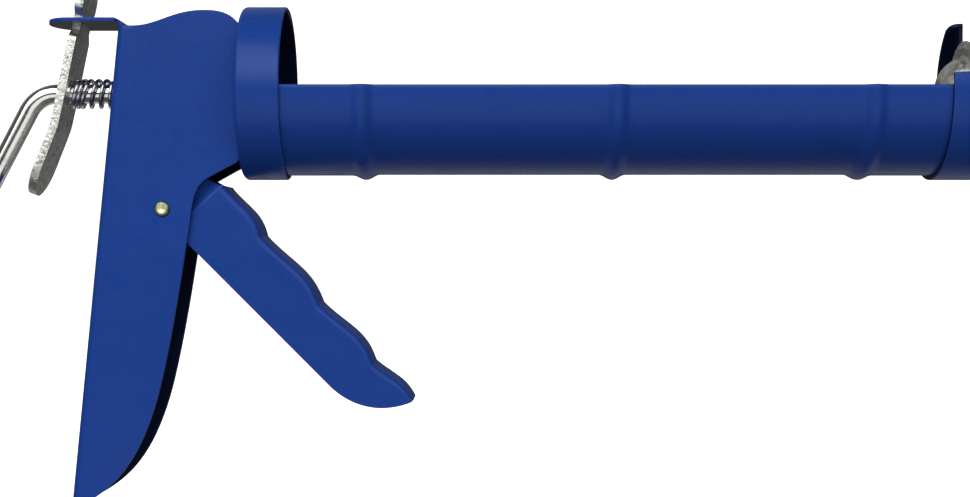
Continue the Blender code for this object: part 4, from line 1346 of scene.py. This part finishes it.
@dataclass
class Studio:
    """Pale sweep, soft lights and the camera."""

    layout: Layout
    distance: float = 541.0
    below_axis: float = 50.8
    ahead_of_cup: float = 76.5
    focal_px: float = 1645.0
    frame_px: float = 970.0
    sensor: float = 36.0
    centre_shift_px: float = 7.0

    def build(self) -> None:
        """Makes the sweep, the lights and the camera."""
        self.sweep()
        self.lights()
        self.camera()

    def camera(self) -> None:
        """A level camera beside the gun, a little below the barrel's axis."""
        data = bpy.data.cameras.new("camera")
        data.sensor_width = self.sensor
        data.lens = self.focal_px / self.frame_px * self.sensor
        data.shift_x = self.centre_shift_px / self.frame_px
        data.clip_start = 0.01
        camera = bpy.data.objects.new("camera", data)
        at = self.layout
        camera.location = (
            (at.cup_back + self.ahead_of_cup) * MM, -self.distance * MM, (at.axis_z - self.below_axis) * MM
        )
        camera.rotation_euler = (math.pi / 2, 0, 0)
        bpy.context.scene.collection.objects.link(camera)
        bpy.context.scene.camera = camera

    def sweep(self) -> None:
        """Floor that curves up all round: a level disc, a quarter circle, then an upright wall.

        The section runs outwards and is carried round the vertical axis.
        """
        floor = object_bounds()[0][2] / MM - 1.0
        start, bend, far_edge = 5000.0, 1500.0, 9500.0
        run = np.concatenate([
            np.linspace(0, start, 12), np.linspace(start, start + bend * np.pi / 2, 24)[1:], [far_edge],
        ])
        turn = np.clip((run - start) / bend, 0, np.pi / 2)
        rest = np.maximum(run - start - bend * np.pi / 2, 0)
        out = (np.minimum(run, start) + bend * np.sin(turn))[:, None]
        z = (floor + bend * (1 - np.cos(turn)) + rest)[:, None]
        round_ = np.linspace(0, 2 * np.pi, 96, endpoint=False)[None, :]
        points = np.stack([out * np.cos(round_), out * np.sin(round_), z + 0 * round_], axis=-1)
        floor_obj = surface("studio_sweep", points, close_columns=True)
        facing(floor_obj, lambda p, n: n[:, 2] - np.sum(n[:, :2] * p[:, :2], axis=1))
        sheet = NodeSheet("studio_paper")
        shade = sheet.noise(3.0, 2.0)
        paper = sheet.ramp(shade, [(0.3, (0.90, 0.90, 0.905)), (0.7, (0.93, 0.93, 0.93))])
        sheet.link(paper, sheet.shader.inputs["Base Color"])
        sheet.link(paper, sheet.shader.inputs["Emission Color"])
        sheet.set(Roughness=0.9, Emission_Strength=1.1)
        floor_obj.data.materials.append(sheet.material)
        floor_obj.visible_diffuse = False
        floor_obj.visible_glossy = False
        floor_obj.visible_shadow = False
        floor_obj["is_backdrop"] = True

    def lights(self) -> None:
        """Large soft lights, two high in front and a weak one behind, and the surround."""
        for name, power, size, place, aim in (
            ("key", 16.5, (1.7, 1.2), (-0.42, -1.05, 0.95), (0.06, 0.0, 0.0)),
            ("fill", 6.0, (1.6, 1.2), (0.70, -1.30, 0.90), (0.12, 0.0, 0.0)),
            ("rear", 5.0, (1.6, 1.2), (0.10, 1.60, 1.20), (0.08, 0.0, 0.0)),
        ):
            data = bpy.data.lights.new(name, "AREA")
            data.energy = power
            data.shape = "RECTANGLE"
            data.size, data.size_y = size
            lamp = bpy.data.objects.new(name, data)
            lamp.location = place
            lamp.visible_camera = False
            lamp.visible_glossy = name != "rear"
            away = np.array(place) - np.array(aim)
            lamp.rotation_euler = (
                math.atan2(math.hypot(away[0], away[1]), away[2]), 0, math.atan2(away[0], -away[1])
            )
            bpy.context.scene.collection.objects.link(lamp)
        self.surround()

    def surround(self) -> None:
        """A dim world with a pale panel in front, a grey floor behind and a grey ceiling behind.

        The brightness is a sum of products of steps in the direction's Y and Z.
        """
        world = bpy.data.worlds.new("surround")
        world.use_nodes = True
        tree = world.node_tree
        split = tree.nodes.new("ShaderNodeSeparateXYZ")
        tree.links.new(tree.nodes.new("ShaderNodeTexCoord").outputs["Generated"], split.inputs[0])

        def joined(
            kind: str, one: bpy.types.NodeSocket, two: bpy.types.NodeSocket | float
        ) -> bpy.types.NodeSocket:
            """One arithmetic node.

            Args:
                kind: Its operation.
                one: The first input.
                two: The second input, a socket or a number.

            Returns:
                The node's output.
            """
            node = tree.nodes.new("ShaderNodeMath")
            node.operation = kind
            tree.links.new(one, node.inputs[0])
            if isinstance(two, float):
                node.inputs[1].default_value = two
            else:
                tree.links.new(two, node.inputs[1])
            return node.outputs[0]

        def step(value: bpy.types.NodeSocket, low: float, high: float) -> bpy.types.NodeSocket:
            """Runs from 0 at low to 1 at high.

            Args:
                value: What is measured.
                low: Where the result is 0.
                high: Where the result is 1.

            Returns:
                The node's output.
            """
            node = tree.nodes.new("ShaderNodeMapRange")
            node.inputs["From Min"].default_value = low
            node.inputs["From Max"].default_value = high
            tree.links.new(value, node.inputs["Value"])
            return node.outputs["Result"]

        y, z = split.outputs[1], split.outputs[2]
        height = joined("ABSOLUTE", z, 0.0)
        panels = (
            (
                step(y, -0.45, -0.75),
                joined("MULTIPLY", step(height, 0.10, 0.18), step(height, 0.74, 0.62)),
                0.80,
            ),
            (step(y, 0.3, 0.6), step(z, -0.20, -0.45), 0.38),
            (step(y, 0.2, 0.5), joined("MULTIPLY", step(z, 0.24, 0.34), step(z, 0.85, 0.75)), 0.18),
        )
        total = joined("ADD", joined("MULTIPLY", z, 0.0), 0.075)
        for one, two, level in panels:
            total = joined("ADD", total, joined("MULTIPLY", joined("MULTIPLY", one, two), level))
        background = tree.nodes["Background"]
        background.inputs["Color"].default_value = (1.0, 1.0, 1.0, 1.0)
        tree.links.new(total, background.inputs["Strength"])
        bpy.context.scene.world = world
        bpy.context.scene.view_settings.view_transform = "Standard"


def main() -> None:
    """Builds every piece around the frame and lights the scene."""
    logging.basicConfig(level=logging.INFO, format="%(message)s")
    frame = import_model()
    layout = Layout(build_finishes())
    Studio(layout).build()
    for maker in (Barrel, Handle, Trigger, RodAndPlunger, ReleaseLever, Drive):
        maker(layout).build()
    for node, finish in KEPT_NODES.items():
        kept = frame["nodes"][node]
        kept.data.materials.clear()
        kept.data.materials.append(layout.finishes[finish])
        LOG.info("%s keeps its CAD shape", node)


if __name__ == "__main__":
    main()
